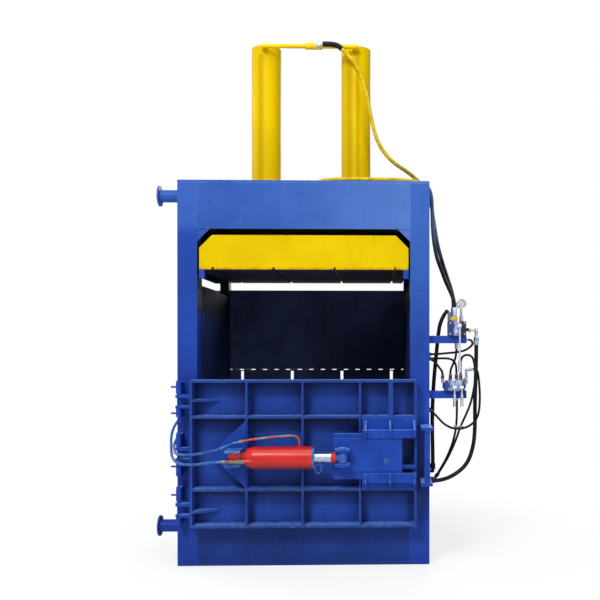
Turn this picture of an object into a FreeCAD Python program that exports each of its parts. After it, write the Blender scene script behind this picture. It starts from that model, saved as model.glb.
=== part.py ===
# Twin-cylinder vertical baler for cardboard and other recycling. Millimetres.
# +Z is up, the door is towards -Y and +X is on the right of someone who faces the door.
# The origin is on the floor under the middle of the body.
import FreeCAD, Part
import math
import os

Vector = FreeCAD.Vector

# ---- body ----
chamber_width = 1100.0
wall_width = 100.0
body_depth = 950.0
body_height = 1990.0
deck_thick = 12.0
column_depth = 120.0
column_plate = 8.0
rear_post_width = 55.0
rear_post_depth = 75.0
rear_post_plate = 6.0
beam_height = 238.0
beam_depth = 120.0
beam_plate = 8.0
side_beam_width = 45.0
cross_beam_thick = 20.0
cross_beam_reach = 120.0
liner_thick = 10.0
skin_thick = 6.0
wall_top = 1485.0
side_gap = 45.0
ledge_drop = 45.0
ledge_thick = 8.0
corner_gusset = 65.0
corner_gusset_thick = 10.0
corner_gusset_inset = 4.0

# ---- back wall, with the seam above the strap slots ----
back_wall_thick = 10.0
back_wall_inset = 25.0
seam_height = 981.0
seam_gap = 5.0
seam_tab_count = 15
seam_tab_width = 46.0
strap_spacing = 315.0
strap_count = 4
rear_slot_width = 18.0
rear_slot_bottom = 300.0
rear_slot_bridge = 7.0
back_rib_depth = 25.0
back_rib_thick = 8.0
back_rib_heights = (620.0, 1080.0, 1380.0)

# ---- base and floor ----
floor_height = 215.0
floor_plate = 12.0
floor_groove_width = 18.0
floor_deck = 12.0
base_plate = 8.0
base_edge_thick = 10.0
joist_thick = 12.0
joist_count = 6

# ---- bollards on the left side ----
bollard_radius = 32.0
bollard_length = 100.0
bollard_disc_radius = 53.0
bollard_disc_thick = 8.0
lower_bollard_height = 196.0
upper_bollard_drop = 75.0

# ---- main cylinders ----
main_spacing = 516.0
main_bore_radius = 70.0
main_tube_radius = 84.0
main_stroke = 900.0
main_rod_radius = 45.0
piston_length = 70.0
piston_top_gap = 5.0
piston_bottom_gap = 8.0
gland_length = 70.0
gland_lip = 7.0
gland_drop = 2.0
head_thick = 40.0
flange_radius = 140.0
flange_thick = 40.0
port_boss_radius = 18.0
port_boss_length = 14.0
rod_flange_radius = 75.0
rod_flange_thick = 20.0
tube_deck_clearance = 1.0
running_fit = 0.05

# ---- platen ----
platen_clearance = 9.0
platen_height = 178.0
platen_gap_above = 32.0
platen_corner = 66.0
platen_front_gap = 13.0
platen_back_gap = 10.0
platen_front_thick = 12.0
platen_wall = 12.0
platen_web_thick = 10.0
platen_web_count = 4
platen_web_spacing = 220.0
strap_groove_width = 12.0
strap_groove_depth = 12.0
shoe_width = 26.0
shoe_height = 46.0
shoe_thick = 20.0

# ---- front door ----
door_left_lap = 16.0
door_right_lap = 29.0
door_height = 747.0
door_gap = 4.0
door_skin_thick = 6.0
rib_depth = 80.0
rib_thick = 12.0
rib_upper = 774.0
rib_lower = 407.0
stile_thick = 10.0
stile_places = (-282.0, 0.0, 291.0)
short_stile_place = 447.0
short_stile_thick = 22.0
fin_heights = (293.0, 857.0)
fin_length = 133.0

# ---- hinge ----
hinge_outset = 22.5
hinge_reach = 65.0
hinge_pin_radius = 8.0
knuckle_radius = 13.0
knuckle_block = 22.0
lug_radius = 16.0
pin_head_radius = 11.0
pin_head_thick = 7.0
knuckle_spans = ((891.0, 952.0), (775.0, 818.0), (623.0, 689.0),
                 (476.0, 550.0), (349.0, 415.0), (228.0, 266.0))
lug_spans = ((872.0, 886.0), (819.0, 832.0), (606.0, 620.0),
             (552.0, 566.0), (324.0, 340.0), (268.0, 282.0))
screw_heights = (927.0, 794.0, 524.0, 380.0)
screw_radius = 5.0
screw_length = 24.0
screw_depth = 4.0

# ---- door latch ----
latch_reach = 75.0
latch_z = 580.0
latch_tube_radius = 56.0
latch_bore_radius = 45.0
latch_cap_x = -266.0
latch_cap_thick = 30.0
latch_cap_radius = 46.0
latch_tube_length = 292.0
latch_gland_inside = 45.0
latch_gland_flange = 10.0
latch_gland_radius = 50.0
latch_rod_radius = 25.0
latch_piston_length = 35.0
latch_piston_x = -186.0
latch_rod_end = 149.0
collar_length = 24.0
collar_radius = 25.0
eye_pin_x = -335.0
eye_radius = 27.0
eye_half_height = 26.0
ear_gap = 2.0
ear_thick = 12.0
ear_width = 75.0
ear_overhang = 30.0
latch_pin_radius = 12.0
washer_radius = 19.0
washer_thick = 6.0
mount_plate_thick = 8.0
mount_plate_left = -463.0
mount_plate_right = -285.0
mount_plate_half = 169.0
mount_plate_drop = 8.0
mount_web_thick = 10.0
loop_wire_radius = 4.0
loop_width = 36.0
loop_height = 50.0
loop_drop = 32.0
clevis_pin_x = 205.0
clevis_pin_radius = 14.0
rod_eye_radius = 24.0
rod_neck_radius = 18.0
clevis_ear_gap = 5.0
clevis_ear_thick = 14.0
clevis_ear_half_width = 37.0
latch_port_radius = 12.0
latch_port_left = -272.0
latch_port_right = -240.0
latch_pipe_radius = 6.5
latch_pipe_sleeve = 20.0
latch_pipe_route = ((-128.0, 684.5), (-46.0, 690.0), (-14.0, 682.0), (-8.0, 660.0), (-8.0, 636.0))

# ---- slide plate, its guides and the keeper ----
plate_left = 158.0
plate_length = 345.0
plate_half_height = 114.0
plate_thick = 20.0
plate_raise = 5.0
upper_edge_width = 24.0
lower_edge_width = 38.0
guide_clearance = 2.0
guide_edge_clearance = 6.0
guide_left = 302.0
guide_length = 271.0
guide_back_thick = 10.0
guide_back_overlap = 10.0
upper_guide_lip = 28.0
lower_guide_lip = 36.0
guide_lip_thick = 12.0
guide_shelf = 12.0
guide_fin_thick = 11.0
guide_fin_places = (320.0, 443.0, 565.0)
guide_fin_front = 14.0
guide_fin_lap = 8.0
upper_guide_foot = 46.0
lower_guide_foot = 26.0
guide_bar_height = 18.0
guide_bar_drop = 67.0
keeper_inset = 8.0
keeper_width = 27.0
keeper_gap = 6.0
keeper_depth = 26.0
keeper_cap_thick = 16.0
keeper_cap_left = 17.0
keeper_cap_right = 13.0
keeper_cap_overhang = 4.0
keeper_room_above = 17.0
keeper_room_below = 16.0

# ---- valves on the right column ----
bracket_y = -412.0
bracket_size = 40.0
bracket_plate = 5.0
bracket_length = 198.0
upper_bracket_top = 1188.0
lower_bracket_top = 899.0
relief_out = 102.0
relief_width = 92.0
relief_height = 74.0
valve_depth = 84.0
spool_out = 83.0
spool_width = 104.0
spool_height = 56.0
spool_cap_radius = 16.0
spool_cap_length = 9.0
gauge_out = 173.0
gauge_rise = 94.0
gauge_radius = 26.0
gauge_depth = 22.0
gauge_rim = 3.0
gauge_dial_depth = 9.0
gauge_y = -405.0
gauge_stem_radius = 6.0
gauge_nut_radius = 12.0
gauge_nut_height = 30.0
needle_length = 17.0
needle_tail = 5.0
needle_width = 2.4
needle_thick = 1.0
needle_lift = 3.0
needle_pivot_radius = 2.0
needle_pivot_depth = 4.0
needle_end_gap = 0.5
lever_reach = 16.0
lever_boss_radius = 9.0
lever_boss_half = 8.5
lever_pin_radius = 4.0
lever_ear_gap = 0.5
lever_ear_thick = 5.0
lever_ear_half = 12.0
lever_rod_radius = 5.0
lever_grip_radius = 8.0
lever_grip_length = 62.0
relief_lever_out = 158.0
relief_lever_rise = 50.0
relief_lever_length = 242.0
spool_lever_outs = (131.0, 169.0)
spool_lever_rise = 19.0
spool_lever_length = 100.0

# ---- hose fittings ----
thick_nut_radius = 17.0
thick_collar_radius = 14.0
thick_elbow_radius = 9.0
thin_nut_radius = 11.0
thin_collar_radius = 9.0
thin_elbow_radius = 7.0
nut_share = 0.35
drop_elbow_height = 1220.0
drop_collar_length = 41.0
left_elbow_out = 112.0
left_elbow_rise = 46.0
left_elbow_reach = 17.5
side_port_height = 945.0
right_port_out = 195.0
right_port_height = 940.0
turn_collar_length = 20.0
foot_collar_length = 30.0
turn_reach = 12.0
clamp_left = 789.0
clamp_right = 834.0
clamp_front = -428.0
clamp_back = -366.0
clamp_bottom = 694.0
clamp_top = 714.0
clamp_clearance = 1.0

# ---- pipes of the main cylinders ----
cross_pipe_radius = 12.0
cross_pipe_reach = 24.0
tee_radius = 18.0
tee_left = -24.0
tee_right = 72.0
tee_branch_x = 52.0
tee_branch_radius = 16.0
black_fitting_radius = 14.0
black_fitting_route = ((52.0, 2821.0), (120.0, 2821.0), (158.0, 2815.0))
rod_port_rise = 4.0
beam_hole_clearance = 3.0
riser_radius = 13.0

# ---- power unit behind the body ----
skid_left = 40.0
skid_length = 600.0
skid_height = 80.0
skid_width = 60.0
skid_wall = 5.0
skid_tie_inset = 60.0
unit_gap = 45.0
unit_depth = 300.0
tank_height = 400.0
tank_wall = 5.0
tank_margin = 20.0
lid_thick = 8.0
breather_radius = 24.0
breather_height = 50.0
breather_inset = 60.0
motor_radius = 95.0
motor_left = 330.0
motor_length = 250.0
motor_wall = 8.0
motor_axis_height = 112.0
motor_foot_width = 160.0
motor_foot_length = 180.0
end_shield_thick = 12.0
bell_radius = 70.0
bell_wall = 10.0
bell_length = 90.0
pump_radius = 48.0
pump_length = 100.0
pump_bore_depth = 30.0
pump_foot_width = 60.0
shaft_radius = 14.0
shaft_end_gap = 5.0
rotor_radius = 60.0
rotor_length = 120.0
fan_radius = 78.0
fan_thick = 10.0
fan_gap = 12.0
oil_pipe_radius = 11.0
pressure_pipe_rise = 150.0
return_pipe_rise = 112.0
return_pipe_inset = 34.0

# ---- hoses: outer radius, then the points of the route ----
thick_hose = 10.5
thin_hose = 6.0
door_hose = 7.0
hose_routes = {
    "hose_top_feed": (thick_hose, (
        (182, -150, 2794), (206, -150, 2773), (250, -148, 2724), (296, -146, 2642), (330, -142, 2500),
        (356, -138, 2360), (392, -130, 2256), (466, -116, 2170), (560, -92, 2118), (640, -72, 2052),
        (688, -64, 1960), (704, -70, 1840), (722, -96, 1710), (744, -160, 1604), (762, -264, 1508),
        (774, -344, 1444), (779.5, -382, 1404), (783, -396, 1368), (783, -396, 1336))),
    "hose_rod_feed": (thick_hose, (
        (64, -262, 2014), (64, -308, 2014), (76, -368, 2009), (112, -414, 2006), (178, -440, 2004),
        (280, -449, 2003.5), (420, -444, 2003.5), (540, -424, 2003.5), (632, -352, 2004),
        (661, -240, 2005), (682, -188, 1968), (688, -160, 1892), (690, -152, 1800), (698, -158, 1706),
        (712, -186, 1620), (734, -262, 1540), (745, -330, 1486), (759, -384, 1440), (774, -420, 1398),
        (783, -434, 1366), (783, -434, 1336))),
    "hose_drop_left": (thick_hose, (
        (738.5, -380, 1305.2), (714, -380, 1266), (702, -374, 1180), (694, -370, 1090),
        (684, -370, 990), (676, -370, 880), (672, -370, 760), (673, -370, 640), (675, -372, 560),
        (675, -372, 510))),
    "hose_drop_right": (thick_hose, (
        (903, -404, 1140), (903, -404, 1080), (900, -402, 960), (896, -400, 830), (897, -404, 700),
        (886, -416, 600), (852, -426, 510), (780, -430, 452), (710, -430, 427), (680, -430, 427))),
    "hose_valve_link": (thin_hose, (
        (800, -381, 1118), (800, -381, 1092), (790, -382, 1054), (775, -383.5, 1022), (768, -384, 1004),
        (768, -384, 986))),
    "hose_bracket_loop": (thin_hose, (
        (860, -412, 1167), (869.7, -412, 1167), (878.7, -412, 1160), (882, -413, 1149.5),
        (879, -414, 1137), (864, -416, 1124.5), (838, -420, 1109), (796, -424, 1100.5),
        (740, -424, 1096), (694, -421, 1091), (664, -421, 1091))),
    "hose_upper_run": (thin_hose, (
        (664, -400, 1068), (700, -400, 1068), (748, -400, 1069), (774, -400, 1063), (790, -400, 1048),
        (798, -400, 1022), (798, -400, 986))),
    "hose_left_port": (thin_hose, (
        (664, -440, 1062), (682, -440, 1050), (706, -436, 1018), (722, -430, 998), (722, -430, 980))),
    "hose_arc": (thin_hose, (
        (818, -424, 986), (818, -424, 1020), (818.5, -429, 1064), (830, -435, 1082), (850, -443, 1089),
        (870, -451, 1082), (882, -457, 1064), (890, -463, 1006), (888, -466, 950), (880, -465, 896),
        (866, -458, 832), (842, -440, 768), (818, -414, 710), (802, -401, 654), (774, -398, 584),
        (738, -398, 514), (704, -398, 462))),
    "hose_wall_loop": (thin_hose, (
        (884, -442, 1012), (896, -442, 1012), (904, -442.5, 1003), (908, -443, 984), (912, -444.5, 950),
        (917, -446, 880), (914, -446, 800), (902, -446, 756), (880, -445.5, 728), (846, -444.5, 707),
        (806, -443, 699), (766, -442, 704), (728, -440.5, 725), (698, -439, 757), (682, -438, 775),
        (664, -436, 790))),
    "hose_down": (thin_hose, (
        (803, -381, 846), (803, -381, 806), (802, -379, 742), (796, -376, 676), (776, -372, 600),
        (742, -369, 520), (700, -368, 452))),
    "hose_latch_upper": (door_hose, (
        (-664, -372, 696), (-667, -376, 668), (-679, -391, 640), (-682, -421, 616), (-669, -462, 606),
        (-654, -512, 602), (-640, -564, 593), (-598, -600, 589), (-540, -622, 594), (-480, -634, 603),
        (-400, -639, 624), (-352, -640, 645), (-326, -640, 655), (-306, -640, 659))),
    "hose_latch_lower": (door_hose, (
        (-668, -330, 770), (-675, -338, 744), (-696, -368, 708), (-700, -408, 662), (-687, -456, 618),
        (-673, -507, 581), (-651, -556, 562), (-614, -601, 547), (-556, -628, 545), (-486, -650, 552),
        (-436, -676, 563), (-408, -684, 567), (-386, -684, 567))),
}

# ---- places that follow from the sizes above ----
half_chamber = chamber_width / 2
half_body = half_chamber + wall_width
front_y = -body_depth / 2
back_y = body_depth / 2
column_back = front_y + column_depth
rear_post_front = back_y - rear_post_depth
post_outer = half_chamber + rear_post_width
deck_bottom = body_height - deck_thick
beam_bottom = deck_bottom - beam_height
back_wall_front = back_y - back_wall_inset - back_wall_thick
back_wall_back = back_wall_front + back_wall_thick
floor_deck_top = floor_height - floor_plate
joist_top = floor_deck_top - floor_deck
strap_places = [strap_spacing * (i - (strap_count - 1) / 2) for i in range(strap_count)]
door_left = -half_chamber - door_left_lap
door_right = half_chamber + door_right_lap
door_top = floor_height + door_height
skin_back = front_y - door_gap
skin_front = skin_back - door_skin_thick
rib_front = skin_front - rib_depth
hinge_x = -half_body + hinge_outset
hinge_y = front_y - hinge_reach
platen_top = beam_bottom - platen_gap_above
platen_bottom = platen_top - platen_height
platen_half = half_chamber - platen_clearance
platen_front = front_y + platen_front_gap
platen_box_front = platen_front + platen_front_thick
platen_box_back = back_wall_front - platen_back_gap
rod_bottom = platen_top + rod_flange_thick
gland_bottom = beam_bottom - gland_drop
tube_bottom = gland_bottom + gland_lip
gland_top = tube_bottom + gland_length
piston_bottom = gland_top + piston_bottom_gap + main_stroke
piston_top = piston_bottom + piston_length
tube_top = piston_top + piston_top_gap
head_top = tube_top + head_thick
main_places = (-main_spacing / 2, main_spacing / 2)
latch_y = rib_front - latch_reach
latch_tube_left = latch_cap_x + latch_cap_thick
latch_tube_right = latch_tube_left + latch_tube_length
mount_plate_front = rib_front - mount_plate_thick
guide_back_front = rib_front - guide_back_thick
plate_back = guide_back_front - guide_clearance
plate_front = plate_back - plate_thick
raise_front = plate_front - plate_raise
plate_right = plate_left + plate_length
plate_bottom = latch_z - plate_half_height
plate_top = latch_z + plate_half_height
guide_right = guide_left + guide_length
lip_back = plate_front - guide_clearance
lip_front = lip_back - guide_lip_thick
keeper_right = half_body - keeper_inset
keeper_left = keeper_right - keeper_width
keeper_back = raise_front - keeper_gap
keeper_front = keeper_back - keeper_depth
keeper_low = plate_bottom - keeper_room_below
keeper_high = plate_top + keeper_room_above
valve_front = bracket_y - valve_depth / 2
valve_back = bracket_y + valve_depth / 2
relief_left = half_body + relief_out
relief_right = relief_left + relief_width
relief_top = upper_bracket_top + relief_height
spool_left = half_body + spool_out
spool_right = spool_left + spool_width
spool_top = lower_bracket_top + spool_height
lever_y = valve_front - lever_reach
port_seat_y = -main_tube_radius - port_boss_length
cross_pipe_y = port_seat_y - cross_pipe_reach
cross_pipe_z = tube_top + head_thick / 2
rod_port_z = gland_top + rod_port_rise
unit_front = back_y + unit_gap
unit_back = unit_front + unit_depth
unit_middle = (unit_front + unit_back) / 2
skid_right = skid_left + skid_length
tank_top = skid_height + tank_height
lid_top = tank_top + lid_thick
motor_z = lid_top + motor_axis_height
motor_right = motor_left + motor_length
pump_right = motor_left - bell_length
pump_left = pump_right - pump_length


def block(x0, x1, y0, y1, z0, z1):
    return Part.makeBox(x1 - x0, y1 - y0, z1 - z0, Vector(x0, y0, z0))


def bar_x(x0, x1, y, z, radius):
    return Part.makeCylinder(radius, x1 - x0, Vector(x0, y, z), Vector(1, 0, 0))


def bar_y(y0, y1, x, z, radius):
    return Part.makeCylinder(radius, y1 - y0, Vector(x, y0, z), Vector(0, 1, 0))


def bar_z(z0, z1, x, y, radius):
    return Part.makeCylinder(radius, z1 - z0, Vector(x, y, z0))


def extruded(corners, direction):
    corners = [Vector(*corner) for corner in corners]
    return Part.Face(Part.makePolygon(corners + corners[:1])).extrude(Vector(*direction))


def plate_xz(outline, y0, y1):
    return extruded([(x, y0, z) for x, z in outline], (0, y1 - y0, 0))


def plate_xy(outline, z0, z1):
    return extruded([(x, y, z0) for x, y in outline], (0, 0, z1 - z0))


def plate_yz(outline, x0, x1):
    return extruded([(x0, y, z) for y, z in outline], (x1 - x0, 0, 0))


def hollow_x(x0, x1, y0, y1, z0, z1, wall):
    return block(x0, x1, y0, y1, z0, z1).cut(block(x0, x1, y0 + wall, y1 - wall, z0 + wall, z1 - wall))


def hollow_y(x0, x1, y0, y1, z0, z1, wall):
    return block(x0, x1, y0, y1, z0, z1).cut(block(x0 + wall, x1 - wall, y0, y1, z0 + wall, z1 - wall))


def hollow_z(x0, x1, y0, y1, z0, z1, wall):
    return block(x0, x1, y0, y1, z0, z1).cut(block(x0 + wall, x1 - wall, y0 + wall, y1 - wall, z0, z1))


def both_sides(shape):
    return [shape, shape.mirror(Vector(0, 0, 0), Vector(1, 0, 0))]


def joined(first, *others):
    shape = first
    for other in others:
        shape = shape.fuse(other)
    return shape.removeSplitter()


def strips(width, groove, y0, y1, z0, z1):
    # a plate of the given half width, cut into strips by a groove at each strap
    edges = [-width]
    for place in strap_places:
        edges += [place - groove / 2, place + groove / 2]
    edges.append(width)
    return [block(edges[i], edges[i + 1], y0, y1, z0, z1) for i in range(0, len(edges), 2)]


def route_path(points):
    # straight runs joined by tangent arcs, each as large as its two runs allow
    points = [Vector(*point) for point in points]
    start = points[0]
    edges = []
    radii = []
    for before, corner, after in zip(points, points[1:], points[2:]):
        back = (before - corner).normalize()
        ahead = (after - corner).normalize()
        trim = 0.45 * min((before - corner).Length, (after - corner).Length)
        half_turn = (math.pi - back.getAngle(ahead)) / 2
        radius = trim / math.tan(half_turn)
        inward = (back + ahead).normalize()
        middle = corner + inward * (radius / math.cos(half_turn) - radius)
        edges.append(Part.LineSegment(start, corner + back * trim).toShape())
        edges.append(Part.Arc(corner + back * trim, middle, corner + ahead * trim).toShape())
        start = corner + ahead * trim
        radii.append(radius)
    edges.append(Part.LineSegment(start, points[-1]).toShape())
    return Part.Wire(edges), radii


def swept(points, radius):
    path, radii = route_path(points)
    start = Vector(*points[0])
    circle = Part.Wire(Part.makeCircle(radius, start, Vector(*points[1]) - start))
    return path.makePipeShell([circle], True, False), path.Length, radii


def pipe(points, radius):
    return swept(points, radius)[0]


def hose(name):
    radius, points = hose_routes[name]
    tube, length, radii = swept(points, radius)
    expected = math.pi * radius ** 2 * length
    print(name, "length", round(length), "least radius", round(min(radii)), "volume ratio",
          round(tube.Volume / expected, 3), "radii", [round(r) for r in radii])
    return tube


def hexagon(place, direction, radius, length):
    direction = Vector(*direction).normalize()
    side = direction.cross(Vector(0.3, 0.5, 0.8)).normalize()
    corners = []
    for i in range(6):
        turn = FreeCAD.Rotation(direction, 60.0 * i)
        corners.append(Vector(*place) + turn.multVec(side) * radius)
    return Part.Face(Part.makePolygon(corners + corners[:1])).extrude(direction * length)


def rod(start, end, radius):
    start, end = Vector(*start), Vector(*end)
    return Part.makeCylinder(radius, (end - start).Length, start, end - start)


def elbows(points, radius):
    # straight lengths with a ball at each corner
    shapes = [rod(a, b, radius) for a, b in zip(points, points[1:])]
    shapes += [Part.makeSphere(radius, Vector(*corner)) for corner in points[1:-1]]
    return joined(*shapes)


def hose_end(name, last, distance=0.0):
    # the end of a hose, or the place that lies this far beyond it in line with it
    points = hose_routes[name][1]
    end, before = (points[-1], points[-2]) if last else (points[0], points[1])
    end = Vector(*end)
    return end + (end - Vector(*before)).normalize() * distance


def fitting_sizes(name):
    if hose_routes[name][0] == thick_hose:
        return thick_nut_radius, thick_collar_radius, thick_elbow_radius
    return thin_nut_radius, thin_collar_radius, thin_elbow_radius


def straight_fitting(name, last, length):
    # a crimped sleeve on the end of the hose and a nut in line with it
    nut_radius, collar_radius, _ = fitting_sizes(name)
    end = hose_end(name, last)
    middle = hose_end(name, last, length * (1 - nut_share))
    direction = middle - end
    return joined(rod(end, middle, collar_radius),
                  hexagon(tuple(middle), tuple(direction), nut_radius, length * nut_share))


def wall_fitting(name, last):
    # a straight fitting that ends flush with the side of the right column
    end = hose_end(name, last)
    run = abs((hose_end(name, last, 1.0) - end).x)
    nut_radius = fitting_sizes(name)[0]
    shape = straight_fitting(name, last, (end.x - half_body) / run + nut_radius * (1 / run - run))
    return shape.cut(block(half_chamber, half_body, front_y, column_back, 0, deck_bottom))


def turned_fitting(name, last, collar_length, wall):
    # a sleeve, then an elbow that goes level into the side of the body
    collar_end = hose_end(name, last, collar_length)
    corner = hose_end(name, last, collar_length + turn_reach)
    _, collar_radius, elbow_radius = fitting_sizes(name)
    return joined(rod(hose_end(name, last), collar_end, collar_radius),
                  elbows([collar_end, corner, (wall, corner.y, corner.z)], elbow_radius))


# ---- body ----

def base_box():
    inner = half_chamber
    pieces = [block(-inner, inner, front_y, back_y, 0, base_plate)]
    pieces.append(block(-inner, inner, front_y, front_y + base_edge_thick, base_plate, joist_top))
    pieces.append(block(-inner, inner, back_y - base_edge_thick, back_y, base_plate, joist_top))
    step = 2 * inner / (joist_count + 1)
    for i in range(joist_count):
        middle = -inner + step * (i + 1)
        pieces.append(block(middle - joist_thick / 2, middle + joist_thick / 2, front_y + base_edge_thick,
                            back_y - base_edge_thick, base_plate, joist_top))
    pieces.append(block(-inner, inner, front_y, back_y, joist_top, floor_deck_top))
    return pieces


def chamber_floor():
    return strips(half_chamber, floor_groove_width, front_y, back_wall_front, floor_deck_top, floor_height)


def frame_posts():
    column = hollow_z(half_chamber, half_body, front_y, column_back, 0, deck_bottom, column_plate)
    post = hollow_z(half_chamber, post_outer, rear_post_front, back_y, 0, deck_bottom, rear_post_plate)
    return both_sides(column) + both_sides(post)


def side_walls():
    liner_top = wall_top - ledge_drop - ledge_thick
    liner = block(half_chamber, half_chamber + liner_thick, column_back, rear_post_front, 0, liner_top)
    ledge = plate_xz([(half_chamber, liner_top), (half_body - skin_thick, wall_top - ledge_thick),
                      (half_body - skin_thick, wall_top), (half_chamber, liner_top + ledge_thick)],
                     column_back, back_y - skin_thick)
    ledge = ledge.cut(block(half_chamber, post_outer, rear_post_front, back_y, 0, deck_bottom))
    pieces = both_sides(liner) + both_sides(ledge)
    # the outer skin is open beside the platen, from the wall's top up to the side gap's height
    for bottom, top in ((0, wall_top), (wall_top + side_gap, beam_bottom)):
        skin = block(half_body - skin_thick, half_body, column_back, back_y, bottom, top)
        end = block(post_outer, half_body - skin_thick, back_y - skin_thick, back_y, bottom, top)
        pieces += both_sides(skin) + both_sides(end)
    return pieces


def back_wall():
    inner = half_chamber
    span = (back_wall_front, back_wall_back)
    upper = block(-inner, inner, *span, seam_height + seam_gap, wall_top)
    bridge = block(-inner, inner, *span, seam_height - rear_slot_bridge, seam_height)
    sill = block(-inner, inner, *span, floor_deck_top, rear_slot_bottom)
    staves = strips(inner, rear_slot_width, *span, rear_slot_bottom, seam_height - rear_slot_bridge)
    pieces = [upper, bridge, sill] + staves
    step = 2 * inner / seam_tab_count
    for i in range(seam_tab_count):
        middle = -inner + step * (i + 0.5)
        pieces.append(block(middle - seam_tab_width / 2, middle + seam_tab_width / 2, *span,
                            seam_height, seam_height + seam_gap))
    for height in back_rib_heights:
        low = height - back_rib_thick / 2
        ends = strips(inner, rear_slot_width, back_wall_back, back_wall_back + back_rib_depth, low,
                      low + back_rib_thick)
        if height > seam_height:
            ends = [block(-inner, inner, back_wall_back, back_wall_back + back_rib_depth, low,
                          low + back_rib_thick)]
        pieces += ends
    return pieces


def top_beams():
    front = hollow_x(-half_chamber, half_chamber, front_y, front_y + beam_depth, beam_bottom, deck_bottom,
                     beam_plate)
    rear = hollow_x(-half_chamber, half_chamber, back_y - beam_depth, back_y, beam_bottom, deck_bottom,
                    beam_plate)
    side = hollow_y(half_body - side_beam_width, half_body, column_back, back_y, beam_bottom, deck_bottom,
                    beam_plate)
    gusset_front = front_y + corner_gusset_inset
    gusset = plate_xz([(half_chamber, beam_bottom), (half_chamber - corner_gusset, beam_bottom),
                       (half_chamber, beam_bottom - corner_gusset)],
                      gusset_front, gusset_front + corner_gusset_thick)
    return [front, rear] + both_sides(side) + both_sides(gusset)


def cross_beams():
    pieces = []
    for place in main_places:
        for offset in (-cross_beam_reach, cross_beam_reach):
            middle = place + offset
            beam = block(middle - cross_beam_thick / 2, middle + cross_beam_thick / 2,
                         front_y + beam_depth, back_y - beam_depth, beam_bottom, deck_bottom)
            if abs(middle) < main_spacing / 2:
                beam = beam.cut(bar_x(middle - cross_beam_thick, middle + cross_beam_thick, 0, rod_port_z,
                                      cross_pipe_radius + beam_hole_clearance))
            pieces.append(beam)
    return pieces


def top_deck():
    deck = block(-half_body, half_body, front_y, back_y, deck_bottom, body_height)
    for place in main_places:
        deck = deck.cut(bar_z(deck_bottom, body_height, place, 0, main_tube_radius + tube_deck_clearance))
    riser_x = hose_end("hose_rod_feed", False).x
    return [deck.cut(bar_z(deck_bottom, body_height, riser_x, 0, riser_radius + tube_deck_clearance))]


def bollards():
    y = (front_y + column_back) / 2
    pieces = []
    for height in (lower_bollard_height, body_height - upper_bollard_drop):
        end = -half_body - bollard_length
        pieces.append(bar_x(end, -half_body, y, height, bollard_radius))
        pieces.append(bar_x(end - bollard_disc_thick, end, y, height, bollard_disc_radius))
    return pieces


# ---- hinge and door ----

def hinge_knuckles():
    left = hinge_x - knuckle_radius
    screws = [bar_x(left - screw_length, left + screw_depth, hinge_y, height, screw_radius)
              for height in screw_heights]
    pieces = []
    for low, high in knuckle_spans:
        knuckle = joined(bar_z(low, high, hinge_x, hinge_y, knuckle_radius),
                         block(hinge_x - knuckle_block / 2, hinge_x + knuckle_block / 2, hinge_y, front_y,
                               low, high))
        knuckle = knuckle.cut(bar_z(low, high, hinge_x, hinge_y, hinge_pin_radius))
        for screw in screws:
            knuckle = knuckle.cut(screw)
        pieces.append(knuckle)
    return pieces + screws


def hinge_pins():
    pieces = []
    for i in range(0, len(knuckle_spans), 2):
        top = knuckle_spans[i][1]
        bottom = knuckle_spans[i + 1][0]
        pin = bar_z(bottom, top, hinge_x, hinge_y, hinge_pin_radius)
        head = bar_z(top, top + pin_head_thick, hinge_x, hinge_y, pin_head_radius)
        pieces.append(joined(pin, head))
    return pieces


def door_skin():
    return [block(door_left, door_right, skin_front, skin_back, floor_height, door_top)]


def cross_rib_spans():
    half = rib_thick / 2
    return ((floor_height, floor_height + rib_thick), (rib_lower - half, rib_lower + half),
            (rib_upper - half, rib_upper + half), (door_top - rib_thick, door_top))


def door_cross_ribs():
    left = door_left + rib_thick
    pieces = [block(left, door_right - rib_thick, rib_front, skin_front, low, high)
              for low, high in cross_rib_spans()]
    for height in fin_heights:
        pieces.append(plate_xy([(left, skin_front), (left + fin_length, skin_front), (left, rib_front)],
                               height - rib_thick / 2, height + rib_thick / 2))
    pieces.append(block(mount_plate_left, stile_places[0] - stile_thick / 2, rib_front, skin_front,
                        latch_z - mount_web_thick / 2, latch_z + mount_web_thick / 2))
    return pieces


def door_stiles():
    pieces = [block(door_left, door_left + rib_thick, rib_front, skin_front, floor_height, door_top),
              block(door_right - rib_thick, door_right, rib_front, skin_front, floor_height, door_top)]
    ribs = cross_rib_spans()
    rows = [(ribs[i][1], ribs[i + 1][0]) for i in range(len(ribs) - 1)]
    for low, high in rows:
        for place in stile_places:
            pieces.append(block(place - stile_thick / 2, place + stile_thick / 2, rib_front, skin_front,
                                low, high))
    low, high = rows[-1]
    pieces.append(block(short_stile_place - short_stile_thick / 2, short_stile_place + short_stile_thick / 2,
                        rib_front, skin_front, low, high))
    return pieces


def door_lugs():
    pieces = []
    for low, high in lug_spans:
        lug = joined(bar_z(low, high, hinge_x, hinge_y, lug_radius),
                     block(hinge_x, door_left, hinge_y - lug_radius, hinge_y + lug_radius, low, high))
        pieces.append(lug.cut(bar_z(low, high, hinge_x, hinge_y, hinge_pin_radius + running_fit)))
    return pieces


def mount_plate():
    return [plate_xz([(mount_plate_left, latch_z + mount_plate_drop),
                      (mount_plate_right, latch_z + mount_plate_drop - mount_plate_half),
                      (mount_plate_right, latch_z + mount_plate_drop + mount_plate_half)],
                     mount_plate_front, rib_front)]


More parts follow.
